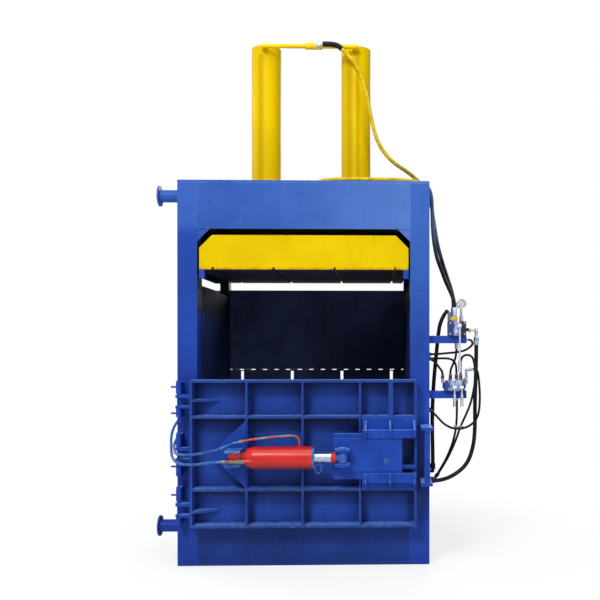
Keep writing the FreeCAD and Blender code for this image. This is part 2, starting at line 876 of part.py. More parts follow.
def latch_bracket():
    pieces = []
    for side in (-1, 1):
        inner = latch_z + side * (eye_half_height + ear_gap)
        outer = inner + side * ear_thick
        low, high = min(inner, outer), max(inner, outer)
        ear = block(eye_pin_x - ear_width / 2, eye_pin_x + ear_width / 2, latch_y - ear_overhang,
                    mount_plate_front, low, high)
        pieces.append(ear.cut(bar_z(low, high, eye_pin_x, latch_y, latch_pin_radius)))
    reach = eye_half_height + ear_gap + ear_thick
    pin = bar_z(latch_z - reach, latch_z + reach, eye_pin_x, latch_y, latch_pin_radius)
    top = bar_z(latch_z + reach, latch_z + reach + washer_thick, eye_pin_x, latch_y, washer_radius)
    foot = bar_z(latch_z - reach - washer_thick, latch_z - reach, eye_pin_x, latch_y, washer_radius)
    pieces.append(joined(pin, top, foot))
    return pieces


def latch_barrel():
    tube = bar_x(latch_tube_left, latch_tube_right, latch_y, latch_z, latch_tube_radius)
    tube = tube.cut(bar_x(latch_tube_left, latch_tube_right, latch_y, latch_z, latch_bore_radius))
    cap = Part.makeCone(latch_cap_radius, latch_tube_radius, latch_cap_thick,
                        Vector(latch_cap_x, latch_y, latch_z), Vector(1, 0, 0))
    eye = bar_z(latch_z - eye_half_height, latch_z + eye_half_height, eye_pin_x, latch_y, eye_radius)
    neck = block(eye_pin_x, latch_cap_x, latch_y - eye_radius, latch_y + eye_radius,
                 latch_z - eye_half_height, latch_z + eye_half_height)
    bore = bar_z(latch_z - eye_half_height, latch_z + eye_half_height, eye_pin_x, latch_y,
                 latch_pin_radius + running_fit)
    port = hose_end("hose_latch_lower", True)
    boss = bar_x(latch_port_left, latch_port_right, port.y, port.z, latch_port_radius)
    return [tube, joined(cap, eye, neck, boss).cut(bore)]


def latch_gland():
    inside = bar_x(latch_tube_right - latch_gland_inside, latch_tube_right, latch_y, latch_z,
                   latch_bore_radius)
    flange = bar_x(latch_tube_right, latch_tube_right + latch_gland_flange, latch_y, latch_z,
                   latch_gland_radius)
    bore = bar_x(latch_tube_right - latch_gland_inside, latch_tube_right + latch_gland_flange, latch_y,
                 latch_z, latch_rod_radius + running_fit)
    left = latch_tube_right + latch_gland_flange
    top = latch_z - loop_drop
    half = loop_width / 2
    turn = loop_height - half
    right = left + loop_width
    inner = left + loop_wire_radius
    route = [(left, latch_y, top), (right - half / 2, latch_y, top), (right, latch_y, top - half / 2),
             (right, latch_y, top - turn), (left + half, latch_y, top - loop_height),
             (inner, latch_y, top - turn), (inner, latch_y, top - half / 2)]
    return [joined(inside, flange).cut(bore), pipe(route, loop_wire_radius)]


def latch_plumbing():
    # the upper hose goes on as a rigid pipe over the barrel, the lower one ends at the rear cap
    upper = straight_fitting("hose_latch_upper", True, latch_pipe_sleeve)
    run = [hose_end("hose_latch_upper", True, distance)
           for distance in (latch_pipe_sleeve, 3 * latch_pipe_sleeve)]
    run += [Vector(x, latch_y, z) for x, z in latch_pipe_route]
    lower = straight_fitting("hose_latch_lower", True,
                             latch_port_left - hose_end("hose_latch_lower", True).x)
    seat = bar_x(latch_tube_left, latch_tube_right, latch_y, latch_z, latch_tube_radius)
    return [pipe(run, latch_pipe_radius).cut(seat), upper, lower]


def latch_guides():
    right = guide_right
    pieces, fins = [], []
    for side, rib, lip, foot in ((1, rib_upper, upper_guide_lip, upper_guide_foot),
                                 (-1, rib_lower, lower_guide_lip, lower_guide_foot)):
        edge = latch_z + side * plate_half_height
        shelf_in = edge + side * guide_edge_clearance
        shelf_out = shelf_in + side * guide_shelf
        lip_end = shelf_in - side * lip
        back_in = edge - side * guide_back_overlap
        fin_end = lip_end + side * guide_fin_lap
        fin_top = shelf_out + side * foot
        pieces.append(block(guide_left, right, guide_back_front, rib_front,
                            min(back_in, rib), max(back_in, rib)))
        pieces.append(block(guide_left, right, lip_front, guide_back_front, min(shelf_in, shelf_out),
                            max(shelf_in, shelf_out)))
        pieces.append(block(guide_left, right, lip_front, lip_back, min(shelf_in, lip_end),
                            max(shelf_in, lip_end)))
        outline = [(guide_back_front, fin_top), (guide_back_front, shelf_out), (lip_front, shelf_out),
                   (lip_front, fin_end), (lip_front - guide_fin_front, fin_end),
                   (lip_front - guide_fin_front, shelf_out)]
        for middle in guide_fin_places:
            fins.append(plate_yz(outline, middle - guide_fin_thick / 2, middle + guide_fin_thick / 2))
    bar_low = latch_z - guide_bar_drop
    pieces.append(block(stile_places[-1], right, guide_back_front, rib_front, bar_low,
                        bar_low + guide_bar_height))
    return pieces + fins


# ---- what slides to lock the door ----

def slide_plate():
    plate = block(plate_left, plate_right, plate_front, plate_back, plate_bottom, plate_top)
    raised = block(plate_left, plate_right, raise_front, plate_front, plate_bottom + lower_edge_width,
                   plate_top - upper_edge_width)
    pieces = [joined(plate, raised)]
    for side in (-1, 1):
        inner = latch_z + side * (rod_eye_radius + clevis_ear_gap)
        outer = inner + side * clevis_ear_thick
        low, high = min(inner, outer), max(inner, outer)
        ear = block(clevis_pin_x - clevis_ear_half_width, clevis_pin_x + clevis_ear_half_width,
                    latch_y - ear_overhang, raise_front, low, high)
        pieces.append(ear.cut(bar_z(low, high, clevis_pin_x, latch_y, clevis_pin_radius)))
    return pieces


def latch_rod():
    piston_right = latch_piston_x + latch_piston_length
    return [bar_x(latch_piston_x, piston_right, latch_y, latch_z, latch_bore_radius - running_fit),
            bar_x(piston_right, latch_rod_end, latch_y, latch_z, latch_rod_radius)]


def rod_eye():
    eye_left = latch_rod_end + collar_length
    collar = bar_x(latch_rod_end, eye_left, latch_y, latch_z, collar_radius)
    neck = bar_x(eye_left, clevis_pin_x, latch_y, latch_z, rod_neck_radius)
    eye = bar_z(latch_z - rod_eye_radius, latch_z + rod_eye_radius, clevis_pin_x, latch_y, rod_eye_radius)
    bore = bar_z(latch_z - rod_eye_radius, latch_z + rod_eye_radius, clevis_pin_x, latch_y, clevis_pin_radius)
    reach = rod_eye_radius + clevis_ear_gap + clevis_ear_thick
    pin = bar_z(latch_z - reach, latch_z + reach, clevis_pin_x, latch_y, clevis_pin_radius)
    top = bar_z(latch_z + reach, latch_z + reach + washer_thick, clevis_pin_x, latch_y, washer_radius)
    foot = bar_z(latch_z - reach - washer_thick, latch_z - reach, clevis_pin_x, latch_y, washer_radius)
    return [collar, joined(neck, eye).cut(bore), joined(pin, top, foot)]


def latch_keeper():
    cap_left = keeper_left - keeper_cap_left
    cap_right = keeper_right + keeper_cap_right
    cap_front = keeper_front - keeper_cap_overhang
    bar = block(keeper_left, keeper_right, keeper_front, keeper_back, keeper_low, keeper_high)
    caps = [block(cap_left, cap_right, cap_front, front_y, low, low + keeper_cap_thick)
            for low in (keeper_low - keeper_cap_thick, keeper_high)]
    return [bar] + caps


# ---- main cylinders and platen ----

def main_barrels():
    pieces = []
    for place in main_places:
        tube = bar_z(tube_bottom, tube_top, place, 0, main_tube_radius)
        flange = bar_z(body_height, body_height + flange_thick, place, 0, flange_radius)
        bore = bar_z(tube_bottom, tube_top, place, 0, main_bore_radius)
        pieces.append(joined(tube, flange).cut(bore))
    return pieces


def main_glands():
    pieces = []
    for place in main_places:
        inside = bar_z(tube_bottom, gland_top, place, 0, main_bore_radius)
        lip = bar_z(gland_bottom, tube_bottom, place, 0, main_tube_radius)
        bore = bar_z(gland_bottom, gland_top, place, 0, main_rod_radius + running_fit)
        pieces.append(joined(inside, lip).cut(bore))
    return pieces


def main_heads():
    pieces = []
    for place in main_places:
        head = bar_z(tube_top, head_top, place, 0, main_tube_radius)
        boss = bar_y(port_seat_y, 0, place, cross_pipe_z, port_boss_radius)
        pieces.append(joined(head, boss))
    return pieces


def main_rods():
    pieces = []
    for place in main_places:
        pieces.append(bar_z(platen_top, rod_bottom, place, 0, rod_flange_radius))
        pieces.append(bar_z(rod_bottom, piston_bottom, place, 0, main_rod_radius))
        pieces.append(bar_z(piston_bottom, piston_top, place, 0, main_bore_radius - running_fit))
    return pieces


def platen_outline(inset, low):
    half = platen_half - inset
    high = platen_top - inset
    corner = platen_corner - inset * (2 - math.sqrt(2))
    return [(-half, low), (half, low), (half, high - corner), (half - corner, high),
            (corner - half, high), (-half, high - corner)]


def platen_face():
    return strips(platen_half, strap_groove_width, platen_box_front, platen_box_back, platen_bottom,
                  platen_bottom + strap_groove_depth)


def platen_front_plate():
    plate = plate_xz(platen_outline(0, platen_bottom), platen_front, platen_box_front)
    for place in strap_places:
        plate = plate.cut(block(place - strap_groove_width / 2, place + strap_groove_width / 2, platen_front,
                                platen_box_front, platen_bottom, platen_bottom + strap_groove_depth))
    return [plate]


def platen_box():
    low = platen_bottom + strap_groove_depth
    shell = plate_xz(platen_outline(0, low), platen_box_front, platen_box_back)
    inside = plate_xz(platen_outline(platen_wall, low + platen_wall), platen_box_front,
                      platen_box_back - platen_wall)
    pieces = [shell.cut(inside)]
    for i in range(platen_web_count):
        middle = platen_web_spacing * (i - (platen_web_count - 1) / 2)
        pieces.append(block(middle - platen_web_thick / 2, middle + platen_web_thick / 2, platen_box_front,
                            platen_box_back - platen_wall, low + platen_wall, platen_top - platen_wall))
    return pieces


def platen_shoes():
    return both_sides(block(platen_half - shoe_width, platen_half, platen_front, platen_front + shoe_thick,
                            platen_bottom - shoe_height, platen_bottom))


# ---- pipes and valves ----

def oil_pipes():
    left, right = main_places
    run_left = elbows([(left, port_seat_y, cross_pipe_z), (left, cross_pipe_y, cross_pipe_z),
                       (tee_left, cross_pipe_y, cross_pipe_z)], cross_pipe_radius)
    run_right = elbows([(tee_right, cross_pipe_y, cross_pipe_z), (right, cross_pipe_y, cross_pipe_z),
                        (right, port_seat_y, cross_pipe_z)], cross_pipe_radius)
    tee = bar_x(tee_left, tee_right, cross_pipe_y, cross_pipe_z, tee_radius)
    # the hose at the top leaves the tee through a bent fitting
    feed = hose_end("hose_top_feed", False)
    branch = bar_y(feed.y - tee_branch_radius, cross_pipe_y, tee_branch_x, black_fitting_route[0][1],
                   tee_branch_radius)
    black = pipe([Vector(x, feed.y, z) for x, z in black_fitting_route] + [feed], black_fitting_radius)
    # the rod ends are joined under the deck, and a riser comes up through it
    riser = hose_end("hose_rod_feed", False)
    low_run = joined(bar_x(left, right, 0, rod_port_z, cross_pipe_radius),
                     elbows([(riser.x, 0, rod_port_z), (riser.x, 0, riser.z), riser], riser_radius))
    for place in main_places:
        low_run = low_run.cut(bar_z(tube_bottom, tube_top, place, 0, main_tube_radius))
    high = motor_z + pressure_pipe_rise
    pump_x = (pump_left + pump_right) / 2
    wall_x = (post_outer + half_body) / 2
    lane = back_y + unit_gap - oil_pipe_radius
    pressure = pipe([(pump_x, unit_middle, motor_z + pump_radius), (pump_x, unit_middle, high),
                     (pump_x, lane, high), (wall_x, lane, high), (wall_x, back_y, high)], oil_pipe_radius)
    return_x = skid_right - return_pipe_inset
    back = pipe([(return_x, unit_front + return_pipe_inset, lid_top),
                 (return_x, unit_front + return_pipe_inset, lid_top + return_pipe_rise),
                 (return_x, back_y, lid_top + return_pipe_rise)], oil_pipe_radius)
    tee = joined(tee, branch)
    return [run_left, run_right, tee, black.cut(tee), low_run, pressure, back]


def valve_brackets():
    pieces = []
    for top in (upper_bracket_top, lower_bracket_top):
        y0, y1 = bracket_y - bracket_size / 2, bracket_y + bracket_size / 2
        right = half_body + bracket_length
        bar = hollow_x(half_body, right - bracket_plate, y0, y1, top - bracket_size, top, bracket_plate)
        cap = block(right - bracket_plate, right, y0, y1, top - bracket_size, top)
        pieces.append(joined(bar, cap))
    return pieces


def lever_ears(x, z):
    ears = []
    for side in (-1, 1):
        inner = x + side * (lever_boss_half + lever_ear_gap)
        outer = inner + side * lever_ear_thick
        low, high = min(inner, outer), max(inner, outer)
        ear = block(low, high, lever_y - lever_ear_half, valve_front, z - lever_ear_half, z + lever_ear_half)
        ears.append(ear.cut(bar_x(low, high, lever_y, z, lever_pin_radius + running_fit)))
    return ears


def lever(x, z, length):
    boss = bar_x(x - lever_boss_half, x + lever_boss_half, lever_y, z, lever_boss_radius)
    half_pin = lever_boss_half + lever_ear_gap + lever_ear_thick
    pin = bar_x(x - half_pin, x + half_pin, lever_y, z, lever_pin_radius)
    stick = bar_z(z - length, z, x, lever_y, lever_rod_radius)
    grip = bar_z(z - length, z - length + lever_grip_length, x, lever_y, lever_grip_radius)
    return [joined(boss, pin, stick, grip)]


def relief_lever_place():
    return half_body + relief_lever_out, upper_bracket_top + relief_lever_rise


def spool_lever_place(i):
    return half_body + spool_lever_outs[i], lower_bracket_top + spool_lever_rise


def relief_valve():
    body = block(relief_left, relief_right, valve_front, valve_back, upper_bracket_top, relief_top)
    return [joined(body, *lever_ears(*relief_lever_place()))]


def spool_valve():
    body = block(spool_left, spool_right, valve_front, valve_back, lower_bracket_top, spool_top)
    middle = (lower_bracket_top + spool_top) / 2
    caps = [bar_x(spool_left - spool_cap_length, spool_left, bracket_y, middle, spool_cap_radius),
            bar_x(spool_right, spool_right + spool_cap_length, bracket_y, middle, spool_cap_radius)]
    return [joined(body, *caps, *lever_ears(*spool_lever_place(0)), *lever_ears(*spool_lever_place(1)))]


def gauge_place():
    return half_body + gauge_out, relief_top + gauge_rise


def gauge_case():
    x, z = gauge_place()
    front = gauge_y - gauge_depth / 2
    back = gauge_y + gauge_depth / 2
    case = bar_y(front, back, x, z, gauge_radius)
    dial = front + gauge_dial_depth
    case = case.cut(bar_y(front, dial, x, z, gauge_radius - gauge_rim))
    case = case.cut(bar_y(dial, dial + needle_pivot_depth + needle_end_gap, x, z,
                          needle_pivot_radius + running_fit))
    stem = bar_z(relief_top + gauge_nut_height, z - gauge_radius + gauge_rim, x, gauge_y, gauge_stem_radius)
    nut = hexagon((x, gauge_y, relief_top), (0, 0, 1), gauge_nut_radius, gauge_nut_height)
    stem = stem.cut(bar_y(front, dial, x, z, gauge_radius - gauge_rim))
    return [joined(case, stem, nut)]


def gauge_needle():
    x, z = gauge_place()
    dial = gauge_y - gauge_depth / 2 + gauge_dial_depth
    low = dial - needle_lift - needle_thick
    # stored at the zero mark, low on the left
    pointer = block(x - needle_width / 2, x + needle_width / 2, low, low + needle_thick, z - needle_length,
                    z + needle_tail)
    pointer.rotate(Vector(x, low, z), Vector(0, 1, 0), 45)
    hub = bar_y(low, dial + needle_pivot_depth, x, z, needle_pivot_radius)
    return [joined(pointer, hub)]


def hose_fittings():
    # name, whether it is the last end, and the height of the face that the fitting stands on
    upright = (("hose_top_feed", True, relief_top), ("hose_rod_feed", True, relief_top),
               ("hose_valve_link", True, spool_top), ("hose_upper_run", True, spool_top),
               ("hose_arc", False, spool_top), ("hose_valve_link", False, upper_bracket_top),
               ("hose_down", False, lower_bracket_top))
    pieces = [straight_fitting(name, last, abs(height - hose_end(name, last).z))
              for name, last, height in upright]
    pieces.append(straight_fitting("hose_bracket_loop", False,
                                   hose_end("hose_bracket_loop", False).x - half_body - bracket_length))
    for name, last in (("hose_bracket_loop", True), ("hose_upper_run", False), ("hose_left_port", False),
                       ("hose_wall_loop", True), ("hose_drop_right", True)):
        pieces.append(wall_fitting(name, last))
    for name, last, collar, wall in (("hose_arc", True, turn_collar_length, half_body),
                                     ("hose_down", True, turn_collar_length, half_body),
                                     ("hose_drop_left", True, foot_collar_length, half_body),
                                     ("hose_latch_upper", False, turn_collar_length, -half_body),
                                     ("hose_latch_lower", False, turn_collar_length, -half_body)):
        pieces.append(turned_fitting(name, last, collar, wall))
    return pieces + valve_elbows() + [hose_clamp()]


def valve_elbows():
    start = hose_end("hose_drop_right", False)
    collar_top = hose_end("hose_drop_right", False, drop_collar_length)
    right = joined(rod(start, collar_top, thick_collar_radius),
                   elbows([collar_top, (start.x, start.y, drop_elbow_height),
                           (relief_right, start.y, drop_elbow_height)], thick_elbow_radius))
    start = hose_end("hose_drop_left", False)
    foot_x = half_body + left_elbow_out
    left = elbows([start, hose_end("hose_drop_left", False, left_elbow_reach),
                   (foot_x, start.y, relief_top + left_elbow_rise), (foot_x, start.y, relief_top)],
                  thick_elbow_radius)
    end = hose_end("hose_left_port", True)
    corner = Vector(hose_end("hose_left_port", True, end.z - side_port_height))
    side = joined(straight_fitting("hose_left_port", True, (end.z - side_port_height) / 2),
                  elbows([end, corner, (spool_left, corner.y, corner.z)], thin_elbow_radius))
    side = side.cut(block(spool_left, spool_right, valve_front, valve_back, lower_bracket_top, spool_top))
    start = hose_end("hose_wall_loop", False)
    port_x = half_body + right_port_out
    port = joined(straight_fitting("hose_wall_loop", False, start.x - port_x - thin_nut_radius),
                  elbows([start, (port_x, start.y, start.z), (port_x, start.y, right_port_height),
                          (spool_right, start.y, right_port_height)], thin_elbow_radius))
    return [right, left, side, port]


def hose_clamp():
    clamp = block(clamp_left, clamp_right, clamp_front, clamp_back, clamp_bottom, clamp_top)
    for name in ("hose_arc", "hose_down"):
        clamp = clamp.cut(pipe(hose_routes[name][1], hose_routes[name][0] + clamp_clearance))
    return clamp


# ---- power unit ----

def power_skid():
    rails = [hollow_x(skid_left, skid_right, y, y + skid_width, 0, skid_height, skid_wall)
             for y in (unit_front, unit_back - skid_width)]
    ties = []
    for x in (skid_left + skid_tie_inset, skid_right - skid_tie_inset - skid_width):
        ties.append(hollow_y(x, x + skid_width, back_y, unit_front, 0, skid_height, skid_wall))
        ties.append(hollow_y(x, x + skid_width, unit_front + skid_width, unit_back - skid_width, 0,
                             skid_height, skid_wall))
    return rails + ties


def oil_tank():
    x0, x1 = skid_left + tank_margin, skid_right
    shell = block(x0, x1, unit_front, unit_back, skid_height, tank_top)
    shell = shell.cut(block(x0 + tank_wall, x1 - tank_wall, unit_front + tank_wall, unit_back - tank_wall,
                            skid_height + tank_wall, tank_top))
    lid = block(x0, x1, unit_front, unit_back, tank_top, lid_top)
    breather = bar_z(lid_top, lid_top + breather_height, x0 + breather_inset, unit_back - breather_inset,
                     breather_radius)
    return [shell, joined(lid, breather)]


def pump_set():
    y, z = unit_middle, motor_z
    shell = bar_x(motor_left, motor_right, y, z, motor_radius)
    shell = shell.cut(bar_x(motor_left + end_shield_thick, motor_right - end_shield_thick, y, z,
                            motor_radius - motor_wall))
    foot = block((motor_left + motor_right - motor_foot_length) / 2,
                 (motor_left + motor_right + motor_foot_length) / 2, y - motor_foot_width / 2,
                 y + motor_foot_width / 2, lid_top, z)
    foot = foot.cut(bar_x(motor_left, motor_right, y, z, motor_radius - motor_wall))
    motor = joined(shell, foot)
    bell = bar_x(pump_right, motor_left, y, z, bell_radius)
    bell = bell.cut(bar_x(pump_right, motor_left, y, z, bell_radius - bell_wall))
    pump = bar_x(pump_left, pump_right, y, z, pump_radius)
    pad = bar_x(pump_right - bell_wall, pump_right, y, z, bell_radius)
    stand = block(pump_left, pump_right, y - pump_foot_width / 2, y + pump_foot_width / 2, lid_top, z)
    pump = joined(pump, pad, stand)
    pump = pump.cut(bar_x(pump_right - pump_bore_depth, pump_right, y, z, shaft_radius + running_fit))
    bore = bar_x(motor_left, motor_left + end_shield_thick, y, z, shaft_radius + running_fit)
    far = bar_x(motor_right - end_shield_thick, motor_right, y, z, shaft_radius + running_fit)
    return [motor.cut(bore).cut(far), bell, pump]


def motor_rotor():
    y, z = unit_middle, motor_z
    shaft = bar_x(pump_right - pump_bore_depth + shaft_end_gap, motor_right, y, z, shaft_radius)
    middle = (motor_left + motor_right) / 2
    core = bar_x(middle - rotor_length / 2, middle + rotor_length / 2, y, z, rotor_radius)
    fan_right = motor_right - end_shield_thick - fan_gap
    fan = bar_x(fan_right - fan_thick, fan_right, y, z, fan_radius)
    return [joined(shaft, core, fan)]


nodes = {
    "base_box": base_box,
    "chamber_floor": chamber_floor,
    "frame_posts": frame_posts,
    "side_walls": side_walls,
    "back_wall": back_wall,
    "top_beams": top_beams,
    "cross_beams": cross_beams,
    "top_deck": top_deck,
    "bollards": bollards,
    "hinge_knuckles": hinge_knuckles,
    "hinge_pins": hinge_pins,
    "latch_keeper": latch_keeper,
    "main_barrels": main_barrels,
    "main_glands": main_glands,
    "main_heads": main_heads,
    "oil_pipes": oil_pipes,
    "valve_brackets": valve_brackets,
    "relief_valve": relief_valve,
    "spool_valve": spool_valve,
    "gauge_case": gauge_case,
    "hose_fittings": hose_fittings,
    "power_skid": power_skid,
    "oil_tank": oil_tank,
    "pump_set": pump_set,
    "door_skin": door_skin,
    "door_cross_ribs": door_cross_ribs,
    "door_stiles": door_stiles,
    "door_lugs": door_lugs,
    "mount_plate": mount_plate,
    "latch_guides": latch_guides,
    "latch_bracket": latch_bracket,
    "latch_barrel": latch_barrel,
    "latch_gland": latch_gland,
    "latch_plumbing": latch_plumbing,
    "slide_plate": slide_plate,
    "latch_rod": latch_rod,
    "rod_eye": rod_eye,
    "main_rods": main_rods,
    "platen_front": platen_front_plate,
    "platen_box": platen_box,
    "platen_face": platen_face,
    "platen_shoes": platen_shoes,
    "relief_lever": lambda: lever(*relief_lever_place(), relief_lever_length),
    "left_lever": lambda: lever(*spool_lever_place(0), spool_lever_length),
    "right_lever": lambda: lever(*spool_lever_place(1), spool_lever_length),
    "gauge_needle": gauge_needle,
    "motor_rotor": motor_rotor,
}

os.makedirs("parts", exist_ok=True)
for name, make in nodes.items():
    Part.makeCompound(make()).exportStep("parts/" + name + ".step")
for name in hose_routes:
    hose(name).exportStep("parts/" + name + ".step")
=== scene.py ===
import math
import bpy
import bmesh
from mathutils import Matrix, Vector


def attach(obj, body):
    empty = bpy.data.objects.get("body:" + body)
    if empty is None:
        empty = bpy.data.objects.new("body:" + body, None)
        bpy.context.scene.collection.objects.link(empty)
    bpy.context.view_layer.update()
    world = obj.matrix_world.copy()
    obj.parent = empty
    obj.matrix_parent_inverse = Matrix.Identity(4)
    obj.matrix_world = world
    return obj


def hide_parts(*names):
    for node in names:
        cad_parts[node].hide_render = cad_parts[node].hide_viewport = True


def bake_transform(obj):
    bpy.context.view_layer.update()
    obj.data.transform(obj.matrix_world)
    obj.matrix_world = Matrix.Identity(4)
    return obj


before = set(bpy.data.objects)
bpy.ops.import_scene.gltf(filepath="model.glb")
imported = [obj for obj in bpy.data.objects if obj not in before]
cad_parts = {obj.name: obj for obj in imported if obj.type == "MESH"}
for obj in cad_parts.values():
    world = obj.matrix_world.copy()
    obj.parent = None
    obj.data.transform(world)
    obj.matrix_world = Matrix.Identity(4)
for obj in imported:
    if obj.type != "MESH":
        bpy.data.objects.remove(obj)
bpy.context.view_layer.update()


# an object at the origin that holds a mesh, curve, lamp or camera
def addObject(name, data):
    piece = bpy.data.objects.new(name, data)
    bpy.context.collection.objects.link(piece)
    return piece


print("camera")
cameraView = {
    "place": (0.3619, -4.4576, 1.1406),
    "turnRight": 0.0269,
    "dip": 0.0032,
    "lens": 46.098,
    "shift": (-0.1578, 0.0786),
}
camera = addObject("camera", bpy.data.cameras.new("camera"))
camera.location = cameraView["place"]
camera.rotation_euler = (math.pi / 2 - cameraView["dip"], 0, -cameraView["turnRight"])
camera.data.lens = cameraView["lens"]
camera.data.shift_x, camera.data.shift_y = cameraView["shift"]
bpy.context.scene.camera = camera


# shader maths: a socket that can be added, multiplied and so on
class Sock:
    def __init__(self, nodes, socket):
        self.nodes, self.socket = nodes, socket

    def maths(self, operation, *others):
        return self.nodes.add("ShaderNodeMath", {"operation": operation}, [self, *others])

    def __add__(self, other):
        return self.maths("ADD", other)

    def __sub__(self, other):
        return self.maths("SUBTRACT", other)

    def __rsub__(self, other):
        return self.maths("MULTIPLY_ADD", -1, other)

    def __mul__(self, other):
        return self.maths("MULTIPLY", other)

    __radd__ = __add__
    __rmul__ = __mul__

    # 0 at low, 1 at high, soft between
    def step(self, low, high):
        return self.nodes.add("ShaderNodeMapRange", {"interpolation_type": "SMOOTHSTEP"},
                              {"Value": self, "From Min": low, "From Max": high})

    # 1 at low, 0 at high
    def fall(self, low, high):
        return 1 - self.step(low, high)

    def size(self):
        return self.maths("ABSOLUTE")

    def most(self, other):
        return self.maths("MAXIMUM", other)

    def least(self, other):
        return self.maths("MINIMUM", other)

    # 1 at a value, 0 past a width from it
    def near(self, value, width):
        return (self - value).size().fall(0, width)

    # the same at several values, each with its own width
    def nearAny(self, *places):
        found = self.near(*places[0])
        for place in places[1:]:
            found = found.most(self.near(*place))
        return found


# the nodes of a material or of the world
class Nodes:
    def __init__(self, tree):
        self.tree = tree

    def join(self, value, socket):
        if isinstance(value, Sock):
            self.tree.links.new(value.socket, socket)
        else:
            socket.default_value = value

    # one node: its kind, its settings, then values or links for its sockets
    def add(self, kind, settings=None, sockets=(), output=0):
        node = self.tree.nodes.new(kind)
        for key, value in (settings or {}).items():
            setattr(node, key, value)
        pairs = sockets.items() if isinstance(sockets, dict) else enumerate(sockets)
        for key, value in pairs:
            found = node.inputs[key] if isinstance(key, int) else next(
                s for s in node.inputs if key in (s.identifier, s.name))
            self.join(value, found)
        found = node.outputs[output] if isinstance(output, int) else next(
            s for s in node.outputs if output in (s.identifier, s.name))
        return Sock(self, found)


class Paint(Nodes):
    def __init__(self, name, fixed=None):
        self.material = bpy.data.materials.new(name)
        self.material.use_nodes = True
        super().__init__(self.material.node_tree)
        self.shader = self.tree.nodes["Principled BSDF"]
        for socketName, value in (fixed or {}).items():
            self.shader.inputs[socketName].default_value = value
        self.place = self.add("ShaderNodeTexCoord", output="Object")
        self.x, self.y, self.z = [self.add("ShaderNodeSeparateXYZ", {}, {"Vector": self.place}, output=axis)
                                  for axis in "XYZ"]

    def mix(self, amount, first, second):
        return self.add("ShaderNodeMix", {"data_type": "RGBA"},
                        {"Factor_Float": amount, "A_Color": first, "B_Color": second}, "Result_Color")

    # lays each mark's colour on where its mask says
    def marked(self, colour, marks):
        for mask, tint in marks:
            colour = self.mix(mask(self), colour, tint)
        return colour

    def noise(self, scale, detail=3, rough=0.55, stretch=None):
        vector = self.place
        if stretch:
            vector = self.add("ShaderNodeMapping", {}, {"Vector": self.place, "Scale": stretch})
        return self.add("ShaderNodeTexNoise", {},
                        {"Vector": vector, "Scale": scale, "Detail": detail, "Roughness": rough})

    def cells(self, scale):
        return self.add("ShaderNodeTexVoronoi", {}, {"Vector": self.place, "Scale": scale})

    # 1 along the edges of the shape
    def edges(self, width):
        rounded = self.add("ShaderNodeBevel", {"samples": 6}, {"Radius": width})
        flat = self.add("ShaderNodeNewGeometry", output="Normal")
        alike = self.add("ShaderNodeVectorMath", {"operation": "DOT_PRODUCT"}, [rounded, flat], "Value")
        return (1 - alike).step(0.015, 0.2)

    # 1 inside a soft blob
    def spot(self, centre, size, soft=0.5):
        offset = self.add("ShaderNodeVectorMath", {"operation": "SUBTRACT"}, [self.place, centre])
        scaled = self.add("ShaderNodeVectorMath", {"operation": "DIVIDE"}, [offset, size])
        away = self.add("ShaderNodeVectorMath", {"operation": "LENGTH"}, [scaled], "Value")
        return away.fall(1 - soft, 1)

    # 1 on faces that look up, 0 on the others
    def upward(self):
        normal = self.add("ShaderNodeNewGeometry", output="Normal")
        return self.add("ShaderNodeSeparateXYZ", {}, {"Vector": normal}, "Z").step(0.6, 0.9)

    # colour, roughness and bumps, each a height and its depth
    def finish(self, colour, roughness, bumps=()):
        self.join(colour, self.shader.inputs["Base Color"])
        self.join(roughness, self.shader.inputs["Roughness"])
        last = None
        for height, depth in bumps:
            sockets = {"Height": height, "Distance": depth, "Strength": 1.0}
            if last:
                sockets["Normal"] = last
            last = self.add("ShaderNodeBump", {}, sockets)
        if last:
            self.join(last, self.shader.inputs["Normal"])
        return self.material


# a colour as a screen shows it, 0 to 255, made linear
def shown(red, green, blue):
    return tuple(((c / 255 + 0.055) / 1.055) ** 2.4 if c > 10 else c / 255 / 12.92
                 for c in (red, green, blue)) + (1.0,)


print("materials")


